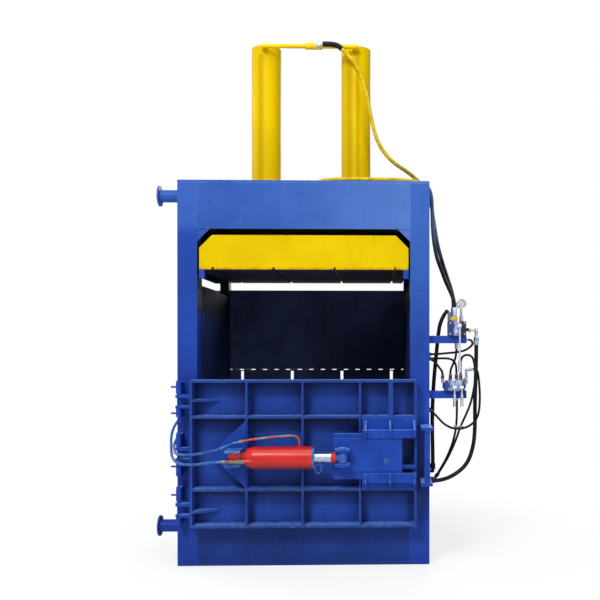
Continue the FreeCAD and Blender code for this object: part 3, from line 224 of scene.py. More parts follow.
# sprayed paint with runs of dirt, rubbed edges, chips and fine scratches
def wornPaint(name, look):
    paint = Paint(name, {"Specular IOR Level": look.get("gloss", 0.12)})
    broad = paint.noise(look.get("patch", 3.0), 4, 0.6)
    cloud = paint.noise(11, 5, 0.65)
    streak = paint.noise(1, 4, 0.6, stretch=(34, 34, 2.2))
    grit = paint.noise(170, 3, 0.6)
    scratch = paint.noise(1, 2, 0.5, stretch=(240, 240, 9)).near(0.5, 0.012) * cloud.step(0.52, 0.7)
    cross = paint.noise(1, 2, 0.5, stretch=(9, 30, 210)).near(0.5, 0.010) * broad.step(0.5, 0.7)
    rubbed = paint.edges(look.get("edge", 0.004)) * paint.noise(55, 4, 0.7).step(0.36, 0.6)
    chips = paint.cells(38).fall(0.05, 0.11) * paint.noise(7, 3).step(0.56, 0.68)
    low = paint.z.fall(0.02, look.get("dirtTop", 0.5))
    dirt = (streak.step(0.52, 0.78) * look.get("streak", 0.35)
            + cloud.step(0.55, 0.8) * low * look.get("lowDirt", 0.5)).least(1)
    colour = paint.mix(broad.step(0.32, 0.68), look["dark"], look["light"])
    colour = paint.mix(grit.step(0.45, 0.75) * 0.05, colour, look["bare"])
    # the tints are mostly painted light and shade, with some of the paint's own colour
    colour = paint.marked(colour, look.get("tints", []))
    colour = paint.mix(dirt, colour, look["dirt"])
    colour = paint.mix((scratch + cross).least(1) * look.get("scratch", 0.35), colour, look["bare"])
    colour = paint.mix(chips * look.get("chips", 0.5), colour, look["chip"])
    colour = paint.mix(rubbed * look.get("wear", 0.6), colour, look["bare"])
    colour = paint.marked(colour, look.get("marks", []))
    roughness = look.get("rough", 0.38) + cloud * 0.14 + dirt * 0.25 + rubbed * 0.12
    peel = paint.noise(210, 2, 0.4)
    return paint.finish(colour, roughness, [(peel, 0.00025), (chips * -1, 0.0004), (cloud, 0.0008)])


# rubbed or plated steel: fine lines one way, blotches, darker stains
def bareSteel(name, look):
    paint = Paint(name, {"Metallic": look.get("metal", 0.9)})
    lines = paint.noise(1, 2, 0.5, stretch=look.get("grain", (900, 60, 60)))
    blotch = paint.noise(look.get("patch", 38), 4, 0.65)
    stain = paint.noise(look.get("stainPatch", 16), 4, 0.7).step(0.52, 0.72)
    edge = paint.edges(look.get("edge", 0.0015))
    colour = paint.mix(blotch.step(0.3, 0.7), look["dark"], look["light"])
    colour = paint.mix(stain * look.get("stained", 0.4), colour, look["stain"])
    colour = paint.mix(lines.step(0.4, 0.7) * 0.25, colour, look["light"])
    colour = paint.mix(edge * 0.6, colour, look["edgeColour"])
    colour = paint.marked(colour, look.get("marks", []))
    roughness = look["rough"] + blotch * 0.16 + stain * 0.15
    return paint.finish(colour, roughness, [(lines, 0.00006), (blotch, 0.0004)])


# hose rubber or black plastic, the feed hoses yellow over part of their length
def rubber(name, look):
    paint = Paint(name, {"Specular IOR Level": look.get("gloss", 0.12)})
    wrap = paint.noise(1, 2, 0.5, stretch=(420, 420, 420))
    scuff = paint.noise(24, 4, 0.65)
    dust = paint.noise(60, 3).step(0.55, 0.75)
    colour = paint.mix(scuff.step(0.35, 0.7), look["dark"], look["light"])
    if "yellow" in look:
        # painted sheen: the feed hoses paler higher up, where the light falls
        colour = paint.mix(paint.z.step(*look["paintedSheenOver"]) * 0.85, colour, look["pale"])
        aged = paint.noise(30, 3).step(0.3, 0.7) * 0.5
        onDeck = paint.x.step(*look["oliveOver"]) * 0.5 * paint.z.step(*look["deck"])
        olive = paint.mix(aged + onDeck, look["yellow"], look["yellowDark"])
        colour = paint.mix(paint.x.fall(*look["yellowEnd"]), colour, olive)
    # dust flecks; on the blue hoses their pale blue is also painted highlight
    colour = paint.mix(dust * look.get("dusty", 0.06), colour, look["dust"])
    roughness = look.get("rough", 0.3) + scuff * 0.2 + dust * 0.15
    return paint.finish(colour, roughness, [(wrap, 0.0002), (scuff, 0.0003)])


rust = shown(112, 84, 66)
grime = shown(28, 33, 50)
beamBlue = wornPaint("beamBlue", {
    "dark": shown(33, 71, 149), "light": shown(43, 83, 162), "bare": shown(128, 158, 210),
    "dirt": shown(30, 56, 120), "chip": rust, "streak": 0.18, "scratch": 0.3, "chips": 0.25, "rough": 0.42,
    "lowDirt": 0.0,
    "tints": [
        # painted light: lighter to the right
        (lambda p: p.x.step(-0.4, 0.9) * 0.7, shown(84, 120, 186))],
    "marks": [
        # joint lines beside the opening
        (lambda p: p.x.size().near(0.556, 0.0022) * p.z.fall(1.93, 1.95)
         * p.noise(1, 3, 0.6, stretch=(30, 4, 22)).step(0.38, 0.6) * 0.5, grime),
        # painted shade: dark inside, under the deck
        (lambda p: p.x.size().fall(0.64, 0.643) * p.y.step(-0.4675, -0.466)
         * p.y.fall(0.468, 0.472) * p.z.fall(1.972, 1.976), shown(11, 14, 26))]})
columnBlue = wornPaint("columnBlue", {
    "dark": shown(22, 51, 134), "light": shown(27, 61, 154), "bare": shown(100, 134, 200),
    "dirt": shown(20, 34, 80), "chip": rust, "streak": 0.3, "scratch": 0.3, "chips": 0.4, "wear": 0.4,
    "tints": [
        # painted light: lighter upwards
        (lambda p: p.z.step(0.6, 1.95) * 0.55, shown(29, 67, 158)),
        # painted light: the right column is lighter above the door
        (lambda p: p.x.step(0.5, 0.55) * p.z.step(0.9, 1.8) * 0.75, shown(52, 94, 168)),
        # painted shadow beside the latch keeper
        (lambda p: p.x.step(0.5, 0.55) * p.y.fall(-0.473, -0.46) * p.z.near(0.5, 0.32) * 0.8,
         shown(20, 32, 74)),
        # painted light again over it
        (lambda p: p.x.step(0.5, 0.55) * p.z.near(0.8, 0.14) * 0.7, shown(36, 80, 184)),
        # painted light: both columns are light at the top
        (lambda p: p.z.step(1.7, 1.78) * 0.7, shown(50, 90, 168))],
    "marks": [
        # painted shade: dark sides towards the chamber
        (lambda p: p.y.step(-0.39, -0.352) * p.y.fall(0.468, 0.472)
         * p.x.size().fall(0.62, 0.622), shown(14, 18, 34)),
        # unlit inner sides beside the platen
        (lambda p: p.y.step(-0.4675, -0.464) * p.x.size().fall(0.6, 0.602)
         * p.z.step(1.26, 1.34) * p.z.fall(1.64, 1.68) * 0.9, shown(7, 11, 26)),
        # scuffed spot low on the right column
        (lambda p: p.spot((0.6, -0.475, 0.328), (0.006, 0.05, 0.058), 0.35)
         * p.noise(90, 4, 0.7).step(0.4, 0.58), shown(78, 74, 88)),
        # seam in the right column
        (lambda p: p.z.near(1.419, 0.0022) * p.x.step(0.55, 0.56) * 0.6, grime)]})
ribBlue = wornPaint("ribBlue", {
    "dark": shown(26, 52, 126), "light": shown(33, 63, 144), "bare": shown(92, 128, 200),
    "dirt": shown(26, 38, 78), "chip": rust, "streak": 0.32, "chips": 0.8, "wear": 0.55, "edge": 0.003,
    "marks": [
        # painted highlight, in patches, on the top faces
        (lambda p: p.upward() * p.noise(30, 3).step(0.25, 0.5) * 0.85, shown(96, 138, 214)),
        # dirt along the ribs
        (lambda p: p.z.nearAny((0.4, 0.022), (0.767, 0.018), (0.222, 0.02))
         * p.noise(48, 5, 0.75).step(0.5, 0.64) * 0.7, shown(82, 88, 96))]})
doorBlue = wornPaint("doorBlue", {
    "dark": shown(26, 54, 130), "light": shown(33, 68, 156), "bare": shown(96, 120, 176),
    "dirt": shown(20, 31, 72), "chip": rust, "streak": 0.28, "chips": 0.6, "lowDirt": 0.7,
    "tints": [
        # shadow under the ribs
        (lambda p: p.z.nearAny((0.385, 0.04), (0.756, 0.045), (0.945, 0.04))
         * p.y.fall(-0.484, -0.482) * 0.75, shown(20, 30, 66)),
        # shadow beside the stiles
        (lambda p: p.x.nearAny((-0.55, 0.06), (-0.275, 0.055), (0.007, 0.055), (0.298, 0.055), (0.55, 0.03))
         * p.y.fall(-0.484, -0.482) * 0.6,
         shown(19, 32, 76)),
        # scraped on the bale's side
        (lambda p: p.y.step(-0.481, -0.4795) * p.noise(1, 4, 0.7, stretch=(3, 4, 60)).step(0.46, 0.66)
         * 0.55, shown(92, 100, 122))],
    "marks": [
        # dirt beside the ribs
        (lambda p: p.z.nearAny((0.4, 0.03), (0.79, 0.03), (0.232, 0.03))
         * p.noise(60, 5, 0.75).step(0.54, 0.68) * 0.6, shown(92, 80, 80))]})
baseBlue = wornPaint("baseBlue", {
    "dark": shown(20, 45, 112), "light": shown(25, 55, 130), "bare": shown(88, 106, 156),
    "dirt": shown(30, 34, 48), "chip": rust, "streak": 0.4, "chips": 0.5, "lowDirt": 0.9, "dirtTop": 0.22})
plateBlue = wornPaint("plateBlue", {
    "dark": shown(20, 55, 142), "light": shown(26, 65, 160), "bare": shown(92, 132, 204),
    "dirt": shown(22, 34, 78), "chip": shown(90, 108, 150), "streak": 0.25, "scratch": 0.3, "wear": 0.4,
    "chips": 0.4, "patch": 7, "edge": 0.003,
    "marks": [
        # painted highlight, in patches, on the top faces
        (lambda p: p.upward() * p.noise(40, 3).step(0.28, 0.5) * 0.85, shown(104, 150, 222)),
        # painted light on the edges of the lower guide's ribs
        (lambda p: p.x.nearAny((0.318, 0.009), (0.44, 0.009), (0.562, 0.009))
         * p.y.fall(-0.612, -0.58) * p.z.fall(0.462, 0.468) * 0.5, shown(74, 116, 196)),
        # scratched spot on the slide plate
        (lambda p: p.spot((0.425, -0.6, 0.557), (0.02, 0.03, 0.02), 0.5)
         * p.noise(160, 3).step(0.46, 0.6) * 0.7, shown(104, 118, 140))]})
paleBlue = wornPaint("paleBlue", {
    "dark": shown(44, 84, 160), "light": shown(84, 128, 196), "bare": shown(176, 194, 224),
    "dirt": shown(60, 58, 72), "chip": rust, "streak": 0.5, "wear": 0.6, "chips": 0.8, "patch": 26,
    "lowDirt": 0.0, "edge": 0.002})
# dark for the inside of the chamber: dirt and wear together with painted shade
insideBlue = wornPaint("insideBlue", {
    "dark": shown(15, 19, 38), "light": shown(21, 28, 56), "bare": shown(52, 62, 98),
    "dirt": shown(15, 16, 22), "chip": shown(48, 46, 52), "streak": 0.5, "scratch": 0.6, "wear": 0.35,
    "rough": 0.55, "gloss": 0.2, "lowDirt": 0.0})
# dark on the chamber side: dirt and wear together with painted shade
wallBlue = wornPaint("wallBlue", {
    "dark": shown(21, 35, 86), "light": shown(28, 48, 112), "bare": shown(70, 92, 150),
    "dirt": shown(18, 24, 48), "chip": shown(60, 62, 80), "streak": 0.4, "scratch": 0.6, "wear": 0.4,
    "rough": 0.6, "gloss": 0.1, "lowDirt": 0.0,
    "tints": [
        # painted shade: darker towards the back of the chamber
        (lambda p: p.y.step(-0.36, 0.3) * p.x.size().fall(0.62, 0.625) * 0.85, shown(18, 24, 48)),
        # painted shade also towards the wall's top edge
        (lambda p: p.z.step(1.26, 1.36) * p.x.size().fall(0.62, 0.625) * 0.92, shown(7, 10, 20)),
        # body blue outside
        (lambda p: p.x.size().step(0.645, 0.6485), shown(40, 72, 162))]})
faceBlue = wornPaint("faceBlue", {
    "dark": shown(26, 30, 46), "light": shown(38, 44, 66), "bare": shown(96, 104, 128),
    "dirt": shown(22, 22, 30), "chip": shown(70, 64, 62), "streak": 0.3, "scratch": 0.8, "wear": 0.5,
    "rough": 0.5, "gloss": 0.25, "lowDirt": 0.0})
# dark on the chamber side: wear together with painted shade
backBlue = wornPaint("backBlue", {
    "dark": shown(42, 53, 88), "light": shown(58, 70, 112), "bare": shown(104, 112, 146),
    "dirt": shown(34, 38, 56), "chip": shown(70, 68, 78), "streak": 0.5, "scratch": 0.65, "wear": 0.35,
    "rough": 0.55, "lowDirt": 0.0,
    "marks": [
        # painted light: white dashes where light shows through the seam's worn edge
        (lambda p: p.z.near(0.9865, 0.004) * p.noise(1, 4, 0.7, stretch=(26, 4, 60)).step(0.5, 0.58)
         * (1.15 - p.x.step(-0.5, 0.6)) * 0.9, shown(210, 216, 226)),
        # scraped line below it
        (lambda p: p.z.near(0.9755, 0.002) * p.noise(1, 4, 0.7, stretch=(18, 4, 40)).step(0.52, 0.6) * 0.5,
         shown(120, 128, 150)),
        # body blue on the rear side
        (lambda p: p.y.step(0.4415, 0.443) * p.noise(9, 4).step(0.1, 0.5) * 0.94, shown(24, 55, 138))]})
cylinderYellow = wornPaint("cylinderYellow", {
    "dark": shown(204, 169, 0), "light": shown(216, 182, 0), "bare": shown(240, 212, 40),
    "dirt": shown(168, 132, 0), "chip": shown(92, 84, 60), "streak": 0.16, "scratch": 0.2, "wear": 0.25,
    "chips": 0.2, "rough": 0.36, "gloss": 0.04, "lowDirt": 0.0, "patch": 2.4,
    "tints": [
        # shaded stripes down the barrels
        (lambda p: p.x.nearAny((-0.278, 0.03), (0.224, 0.028), (0.27, 0.017))
         * p.z.fall(2.78, 2.8) * 0.85, shown(180, 145, 0))]})
platenYellow = wornPaint("platenYellow", {
    "dark": shown(201, 170, 0), "light": shown(211, 181, 0), "bare": shown(236, 208, 40),
    "dirt": shown(180, 144, 0), "chip": shown(96, 82, 50), "streak": 0.16, "scratch": 0.3, "wear": 0.3,
    "chips": 0.35, "rough": 0.45, "gloss": 0.04, "lowDirt": 0.0, "patch": 4,
    "marks": [
        # rust, then dark, at the lower edge
        (lambda p: p.z.fall(1.531, 1.547) * p.noise(40, 4, 0.7).step(0.36, 0.6) * 0.9,
         shown(176, 108, 12)),
        (lambda p: p.z.fall(1.528, 1.534) * 0.85, shown(74, 60, 26))]})
oilYellow = wornPaint("oilYellow", {
    "dark": shown(224, 184, 6), "light": shown(240, 204, 14), "bare": shown(248, 226, 110),
    "dirt": shown(170, 122, 12), "chip": shown(92, 84, 60), "streak": 0.3, "wear": 0.4, "rough": 0.3,
    "lowDirt": 0.0, "patch": 6,
    "marks": [
        # black fitting where the feed hose starts
        (lambda p: p.x.step(0.074, 0.076) * p.y.fall(-0.1375, -0.1365) * p.z.step(2.3, 2.31),
         shown(22, 24, 30)),
        # bare ferrule beside it
        (lambda p: p.x.step(0.036, 0.038) * p.x.fall(0.072, 0.074)
         * p.y.fall(-0.1375, -0.1365) * p.z.step(2.3, 2.31), shown(196, 204, 216)),
        # plain pipes behind the body
        (lambda p: p.y.step(0.5, 0.51), shown(122, 126, 130))]})
rodEyeRed = wornPaint("rodEyeRed", {
    "dark": shown(184, 36, 30), "light": shown(206, 46, 38), "bare": shown(226, 120, 118),
    "dirt": shown(104, 24, 20), "chip": shown(80, 70, 70), "streak": 0.2, "wear": 0.5, "rough": 0.3,
    "lowDirt": 0.0, "patch": 12, "edge": 0.002,
    "marks": [
        # the collar stays red, the eye is blue and dirty
        (lambda p: p.x.step(0.1735, 0.1745), shown(46, 84, 176)),
        (lambda p: p.x.step(0.1735, 0.1745) * p.noise(120, 4, 0.7).step(0.46, 0.6) * 0.6,
         shown(92, 112, 128)),
        # painted highlight on the top of the eye
        (lambda p: p.x.step(0.1735, 0.1745) * p.upward() * 0.6, shown(170, 196, 226))]})
latchRed = wornPaint("latchRed", {
    "dark": shown(178, 24, 18), "light": shown(200, 31, 24), "bare": shown(226, 96, 92),
    "dirt": shown(104, 24, 20), "chip": shown(80, 70, 70), "streak": 0.2, "scratch": 0.3, "wear": 0.4,
    "chips": 0.3, "rough": 0.24, "gloss": 0.35, "lowDirt": 0.0, "patch": 9, "edge": 0.002,
    "tints": [
        # painted shade on the underside
        (lambda p: p.z.fall(0.53, 0.575) * 0.8, shown(96, 20, 16)),
        # grimy rear end
        (lambda p: p.x.fall(-0.3, -0.27) * p.noise(70, 4, 0.7).step(0.42, 0.56) * 0.85,
         shown(46, 24, 26))]})
unitGrey = wornPaint("unitGrey", {
    "dark": shown(104, 108, 112), "light": shown(128, 132, 136), "bare": shown(176, 180, 184),
    "dirt": shown(52, 52, 52), "chip": shown(74, 66, 60), "streak": 0.3, "wear": 0.5, "edge": 0.002,
    "dirtTop": 0.8})
brightSteel = bareSteel("brightSteel", {
    "dark": shown(140, 148, 162), "light": shown(208, 216, 230), "stain": shown(70, 76, 92),
    "edgeColour": shown(238, 242, 250), "rough": 0.2, "stained": 0.5})
leverSteel = bareSteel("leverSteel", {
    "dark": shown(196, 204, 218), "light": shown(232, 238, 248), "stain": shown(120, 126, 140),
    "edgeColour": shown(245, 248, 252), "rough": 0.16, "stained": 0.2, "grain": (80, 80, 700)})
valveSteel = bareSteel("valveSteel", {
    "dark": shown(84, 104, 156), "light": shown(206, 220, 244), "stain": shown(26, 38, 78),
    "edgeColour": shown(232, 240, 252), "rough": 0.26, "stained": 0.85, "patch": 60, "stainPatch": 34,
    "metal": 0.6,
    "marks": [
        # relief valve: blue left side
        (lambda p: p.x.fall(0.774, 0.79) * p.z.step(1.0, 1.1) * 0.95, shown(20, 44, 112)),
        # relief valve: near-black right side
        (lambda p: p.x.step(0.806, 0.82) * p.z.step(1.0, 1.1) * 0.95, shown(24, 27, 42)),
        # spool valve: blue left end
        (lambda p: p.x.fall(0.75, 0.77) * p.z.fall(1.0, 1.1) * 0.95, shown(20, 58, 140)),
        # spool valve: dark right end
        (lambda p: p.x.step(0.816, 0.83) * p.z.fall(1.0, 1.1) * 0.9, shown(28, 38, 70))]})
fittingSteel = bareSteel("fittingSteel", {
    "dark": shown(128, 138, 158), "light": shown(206, 216, 232), "stain": shown(58, 66, 88),
    "edgeColour": shown(238, 242, 250), "rough": 0.2, "stained": 0.6,
    "marks": [
        # painted ports on the columns
        (lambda p: p.x.fall(0.668, 0.672), shown(34, 50, 104)),
        # dark low ports at the right
        (lambda p: p.z.fall(0.6, 0.62) * p.x.step(0.6, 0.61), shown(22, 28, 52)),
        # dark adapter left of the relief valve
        (lambda p: p.x.fall(0.752, 0.762) * p.z.step(1.25, 1.26), shown(26, 32, 48)),
        # dark nut between relief valve and elbow
        (lambda p: p.x.step(0.842, 0.844) * p.x.fall(0.862, 0.864) * p.z.step(1.19, 1.2),
         shown(24, 26, 32)),
        # dark sleeves on the spool valve's ports
        (lambda p: p.z.near(0.972, 0.022) * p.x.step(0.7, 0.71) * p.x.fall(0.834, 0.836) * 0.9,
         shown(28, 31, 42))]})
latchPipe = bareSteel("latchPipe", {
    "dark": shown(74, 70, 70), "light": shown(128, 122, 118), "stain": shown(96, 44, 40),
    "edgeColour": shown(176, 176, 180), "rough": 0.34, "stained": 0.9, "metal": 0.35,
    "marks": [
        # red paint left on the pipe
        (lambda p: p.x.nearAny((-0.252, 0.036), (-0.144, 0.02)).most(p.x.step(-0.024, -0.018))
         .step(0.05, 0.3) * p.z.step(0.6, 0.61) * p.noise(90, 3).step(0.3, 0.55), shown(168, 36, 30))]})
plainSteel = bareSteel("plainSteel", {
    "dark": shown(96, 98, 104), "light": shown(150, 152, 158), "stain": shown(92, 70, 52),
    "edgeColour": shown(190, 192, 198), "rough": 0.34, "stained": 0.5, "patch": 12, "stainPatch": 5,
    "grain": (40, 600, 40)})
rodChrome = bareSteel("rodChrome", {
    "dark": shown(136, 156, 192), "light": shown(186, 200, 224), "stain": shown(128, 104, 104),
    "edgeColour": shown(222, 230, 242), "rough": 0.16, "stained": 0.3, "patch": 34, "grain": (700, 14, 14),
    "marks": [
        # rusty underside of the latch rod
        (lambda p: p.z.fall(0.556, 0.58) * p.z.fall(0.9, 1.0)
         * p.noise(60, 4, 0.7).step(0.42, 0.6) * 0.7, shown(150, 96, 84))]})
blackHose = rubber("blackHose", {
    "dark": shown(9, 10, 12), "light": shown(19, 20, 23), "dust": shown(88, 90, 94)})
feedHose = rubber("feedHose", {
    "dark": shown(9, 10, 12), "light": shown(19, 20, 23), "dust": shown(88, 90, 94),
    "pale": shown(88, 104, 136), "paintedSheenOver": (1.55, 1.85), "deck": (2.02, 2.03),
    "yellow": shown(220, 186, 12), "yellowDark": shown(100, 104, 20), "oliveOver": (0.38, 0.6),
    "yellowEnd": (0.623, 0.635)})
# the pale blue flecks are dust and painted highlight together
blueHose = rubber("blueHose", {
    "dark": shown(28, 70, 140), "light": shown(56, 108, 178), "dust": shown(176, 200, 228), "rough": 0.2,
    "gloss": 0.3, "dusty": 0.3})
needleBlack = rubber("needleBlack", {
    "dark": shown(12, 12, 13), "light": shown(24, 24, 26), "dust": shown(70, 70, 72)})

nodeMaterials = {
    "base_box": baseBlue, "chamber_floor": plainSteel, "frame_posts": columnBlue, "side_walls": wallBlue,
    "back_wall": backBlue, "top_beams": beamBlue, "cross_beams": insideBlue, "top_deck": beamBlue,
    "bollards": columnBlue, "hinge_knuckles": plateBlue, "hinge_pins": columnBlue,
    "latch_keeper": plateBlue, "main_barrels": cylinderYellow, "main_glands": plainSteel,
    "main_heads": cylinderYellow, "oil_pipes": oilYellow, "valve_brackets": columnBlue,
    "relief_valve": valveSteel, "spool_valve": valveSteel, "gauge_case": brightSteel,
    "hose_fittings": fittingSteel, "power_skid": columnBlue, "oil_tank": columnBlue, "pump_set": unitGrey,
    "door_skin": doorBlue, "door_cross_ribs": ribBlue, "door_stiles": ribBlue, "door_lugs": plateBlue,
    "mount_plate": plateBlue, "latch_guides": plateBlue, "latch_bracket": paleBlue,
    "latch_barrel": latchRed, "latch_gland": paleBlue, "latch_plumbing": latchPipe,
    "slide_plate": plateBlue, "latch_rod": rodChrome, "rod_eye": rodEyeRed, "main_rods": rodChrome,
    "platen_front": platenYellow, "platen_box": platenYellow, "platen_face": faceBlue,
    "platen_shoes": plateBlue, "relief_lever": leverSteel, "left_lever": leverSteel,
    "right_lever": leverSteel, "gauge_needle": needleBlack, "motor_rotor": plainSteel,
}
for node, material in nodeMaterials.items():
    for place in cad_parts[node].material_slots:
        place.material = material

print("hoses")
hoses = {
    "hose_top_feed": {"radius": 0.0105, "length": 1.769, "points": [
        (0.182, -0.15, 2.794), (0.206, -0.15, 2.773), (0.25, -0.148, 2.724),
        (0.296, -0.146, 2.642), (0.33, -0.142, 2.5), (0.356, -0.138, 2.36), (0.392, -0.13, 2.256),
        (0.466, -0.116, 2.17), (0.56, -0.092, 2.118), (0.64, -0.072, 2.052), (0.688, -0.064, 1.96),
        (0.704, -0.07, 1.84), (0.722, -0.096, 1.71), (0.744, -0.16, 1.604), (0.762, -0.264, 1.508),
        (0.774, -0.344, 1.444), (0.7795, -0.382, 1.404), (0.783, -0.396, 1.368),
        (0.783, -0.396, 1.336)]},
    "hose_rod_feed": {"radius": 0.0105, "length": 1.64, "points": [
        (0.064, -0.262, 2.014), (0.064, -0.308, 2.014), (0.076, -0.368, 2.009),
        (0.112, -0.414, 2.006), (0.178, -0.44, 2.004), (0.28, -0.449, 2.0035),
        (0.42, -0.444, 2.0035), (0.54, -0.424, 2.0035), (0.632, -0.352, 2.004),
        (0.661, -0.24, 2.005), (0.682, -0.188, 1.968), (0.688, -0.16, 1.892), (0.69, -0.152, 1.8),
        (0.698, -0.158, 1.706), (0.712, -0.186, 1.62), (0.734, -0.262, 1.54),
        (0.745, -0.33, 1.486), (0.759, -0.384, 1.44), (0.774, -0.42, 1.398),
        (0.783, -0.434, 1.366), (0.783, -0.434, 1.336)]},
    "hose_drop_left": {"radius": 0.0105, "length": 0.804, "points": [
        (0.7385, -0.38, 1.3052), (0.714, -0.38, 1.266), (0.702, -0.374, 1.18),
        (0.694, -0.37, 1.09), (0.684, -0.37, 0.99), (0.676, -0.37, 0.88), (0.672, -0.37, 0.76),
        (0.673, -0.37, 0.64), (0.675, -0.372, 0.56), (0.675, -0.372, 0.51)]},
    "hose_drop_right": {"radius": 0.0105, "length": 0.832, "points": [
        (0.903, -0.404, 1.14), (0.903, -0.404, 1.08), (0.9, -0.402, 0.96), (0.896, -0.4, 0.83),
        (0.897, -0.404, 0.7), (0.886, -0.416, 0.6), (0.852, -0.426, 0.51), (0.78, -0.43, 0.452),
        (0.71, -0.43, 0.427), (0.68, -0.43, 0.427)]},
    "hose_valve_link": {"radius": 0.006, "length": 0.138, "points": [
        (0.8, -0.381, 1.118), (0.8, -0.381, 1.092), (0.79, -0.382, 1.054), (0.775, -0.3835, 1.022),
        (0.768, -0.384, 1.004), (0.768, -0.384, 0.986)]},
    "hose_bracket_loop": {"radius": 0.006, "length": 0.269, "points": [
        (0.86, -0.412, 1.167), (0.8697, -0.412, 1.167), (0.8787, -0.412, 1.16),
        (0.882, -0.413, 1.1495), (0.879, -0.414, 1.137), (0.864, -0.416, 1.1245),
        (0.838, -0.42, 1.109), (0.796, -0.424, 1.1005), (0.74, -0.424, 1.096),
        (0.694, -0.421, 1.091), (0.664, -0.421, 1.091)]},
    "hose_upper_run": {"radius": 0.006, "length": 0.195, "points": [
        (0.664, -0.4, 1.068), (0.7, -0.4, 1.068), (0.748, -0.4, 1.069), (0.774, -0.4, 1.063),
        (0.79, -0.4, 1.048), (0.798, -0.4, 1.022), (0.798, -0.4, 0.986)]},
    "hose_left_port": {"radius": 0.006, "length": 0.105, "points": [
        (0.664, -0.44, 1.062), (0.682, -0.44, 1.05), (0.706, -0.436, 1.018), (0.722, -0.43, 0.998),
        (0.722, -0.43, 0.98)]},
    "hose_arc": {"radius": 0.006, "length": 0.814, "points": [
        (0.818, -0.424, 0.986), (0.818, -0.424, 1.02), (0.8185, -0.429, 1.064),
        (0.83, -0.435, 1.082), (0.85, -0.443, 1.089), (0.87, -0.451, 1.082),
        (0.882, -0.457, 1.064), (0.89, -0.463, 1.006), (0.888, -0.466, 0.95),
        (0.88, -0.465, 0.896), (0.866, -0.458, 0.832), (0.842, -0.44, 0.768),
        (0.818, -0.414, 0.71), (0.802, -0.401, 0.654), (0.774, -0.398, 0.584),
        (0.738, -0.398, 0.514), (0.704, -0.398, 0.462)]},
    "hose_wall_loop": {"radius": 0.006, "length": 0.562, "points": [
        (0.884, -0.442, 1.012), (0.896, -0.442, 1.012), (0.904, -0.4425, 1.003),
        (0.908, -0.443, 0.984), (0.912, -0.4445, 0.95), (0.917, -0.446, 0.88),
        (0.914, -0.446, 0.8), (0.902, -0.446, 0.756), (0.88, -0.4455, 0.728),
        (0.846, -0.4445, 0.707), (0.806, -0.443, 0.699), (0.766, -0.442, 0.704),
        (0.728, -0.4405, 0.725), (0.698, -0.439, 0.757), (0.682, -0.438, 0.775),
        (0.664, -0.436, 0.79)]},
    "hose_down": {"radius": 0.006, "length": 0.416, "points": [
        (0.803, -0.381, 0.846), (0.803, -0.381, 0.806), (0.802, -0.379, 0.742),
        (0.796, -0.376, 0.676), (0.776, -0.372, 0.6), (0.742, -0.369, 0.52), (0.7, -0.368, 0.452)]},
    "hose_latch_upper": {"radius": 0.007, "length": 0.611, "doorFrom": (-0.48, -0.634, 0.603), "points": [
        (-0.664, -0.372, 0.696), (-0.667, -0.376, 0.668), (-0.679, -0.391, 0.64),
        (-0.682, -0.421, 0.616), (-0.669, -0.462, 0.606), (-0.654, -0.512, 0.602),
        (-0.64, -0.564, 0.593), (-0.598, -0.6, 0.589), (-0.54, -0.622, 0.594),
        (-0.48, -0.634, 0.603), (-0.4, -0.639, 0.624), (-0.352, -0.64, 0.645),
        (-0.326, -0.64, 0.655), (-0.306, -0.64, 0.659)]},
    "hose_latch_lower": {"radius": 0.007, "length": 0.631, "doorFrom": (-0.486, -0.65, 0.552), "points": [
        (-0.668, -0.33, 0.77), (-0.675, -0.338, 0.744), (-0.696, -0.368, 0.708),
        (-0.7, -0.408, 0.662), (-0.687, -0.456, 0.618), (-0.673, -0.507, 0.581),
        (-0.651, -0.556, 0.562), (-0.614, -0.601, 0.547), (-0.556, -0.628, 0.545),
        (-0.486, -0.65, 0.552), (-0.436, -0.676, 0.563), (-0.408, -0.684, 0.567),
        (-0.386, -0.684, 0.567)]},
}
hoseFinish = {"hose_top_feed": feedHose, "hose_rod_feed": feedHose, "hose_latch_upper": blueHose,
              "hose_latch_lower": blueHose}


def hoseCurve(name, points, radius):
    curve = bpy.data.curves.new(name, "CURVE")
    curve.dimensions = "3D"
    run = curve.splines.new("NURBS")
    run.points.add(len(points) - 1)
    for point, place in zip(run.points, points):
        point.co = (*place, 1)
    run.order_u = 3
    run.use_endpoint_u = True
    curve.bevel_depth = radius
    curve.bevel_resolution = 5
    curve.use_fill_caps = True
    return addObject(name, curve)


def meshOf(piece):
    mesh = bpy.data.meshes.new_from_object(piece.evaluated_get(bpy.context.evaluated_depsgraph_get()))
    bpy.data.objects.remove(piece)
    return mesh


def smoothFaces(mesh):
    for face in mesh.polygons:
        face.use_smooth = True


for node, hose in hoses.items():
    words = node.split("_")
    name = words[0] + "".join(w.title() for w in words[1:])
    blue = "doorFrom" in hose
    piece = hoseCurve(name, hose["points"], hose["radius"])
    if blue:
        line = meshOf(hoseCurve(name + "Line", hose["points"], 0))
        piece = addObject(name, meshOf(piece))
        smoothFaces(piece.data)
    piece.data.materials.clear()
    piece.data.materials.append(hoseFinish.get(node, blackHose))
    if blue:
        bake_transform(piece)
    else:
        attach(piece, "frame")
    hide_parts(node)

print("small parts")


# joins a shape to the mesh being built, its own height pointing along
def addPart(shape, part, place, along):
    turn = Vector(along).to_track_quat("Z", "Y").to_matrix().to_4x4()
    bmesh.ops.transform(part, matrix=Matrix.Translation(place) @ turn, verts=part.verts)
    mesh = bpy.data.meshes.new("part")
    part.to_mesh(mesh)
    part.free()
    shape.from_mesh(mesh)
    bpy.data.meshes.remove(mesh)


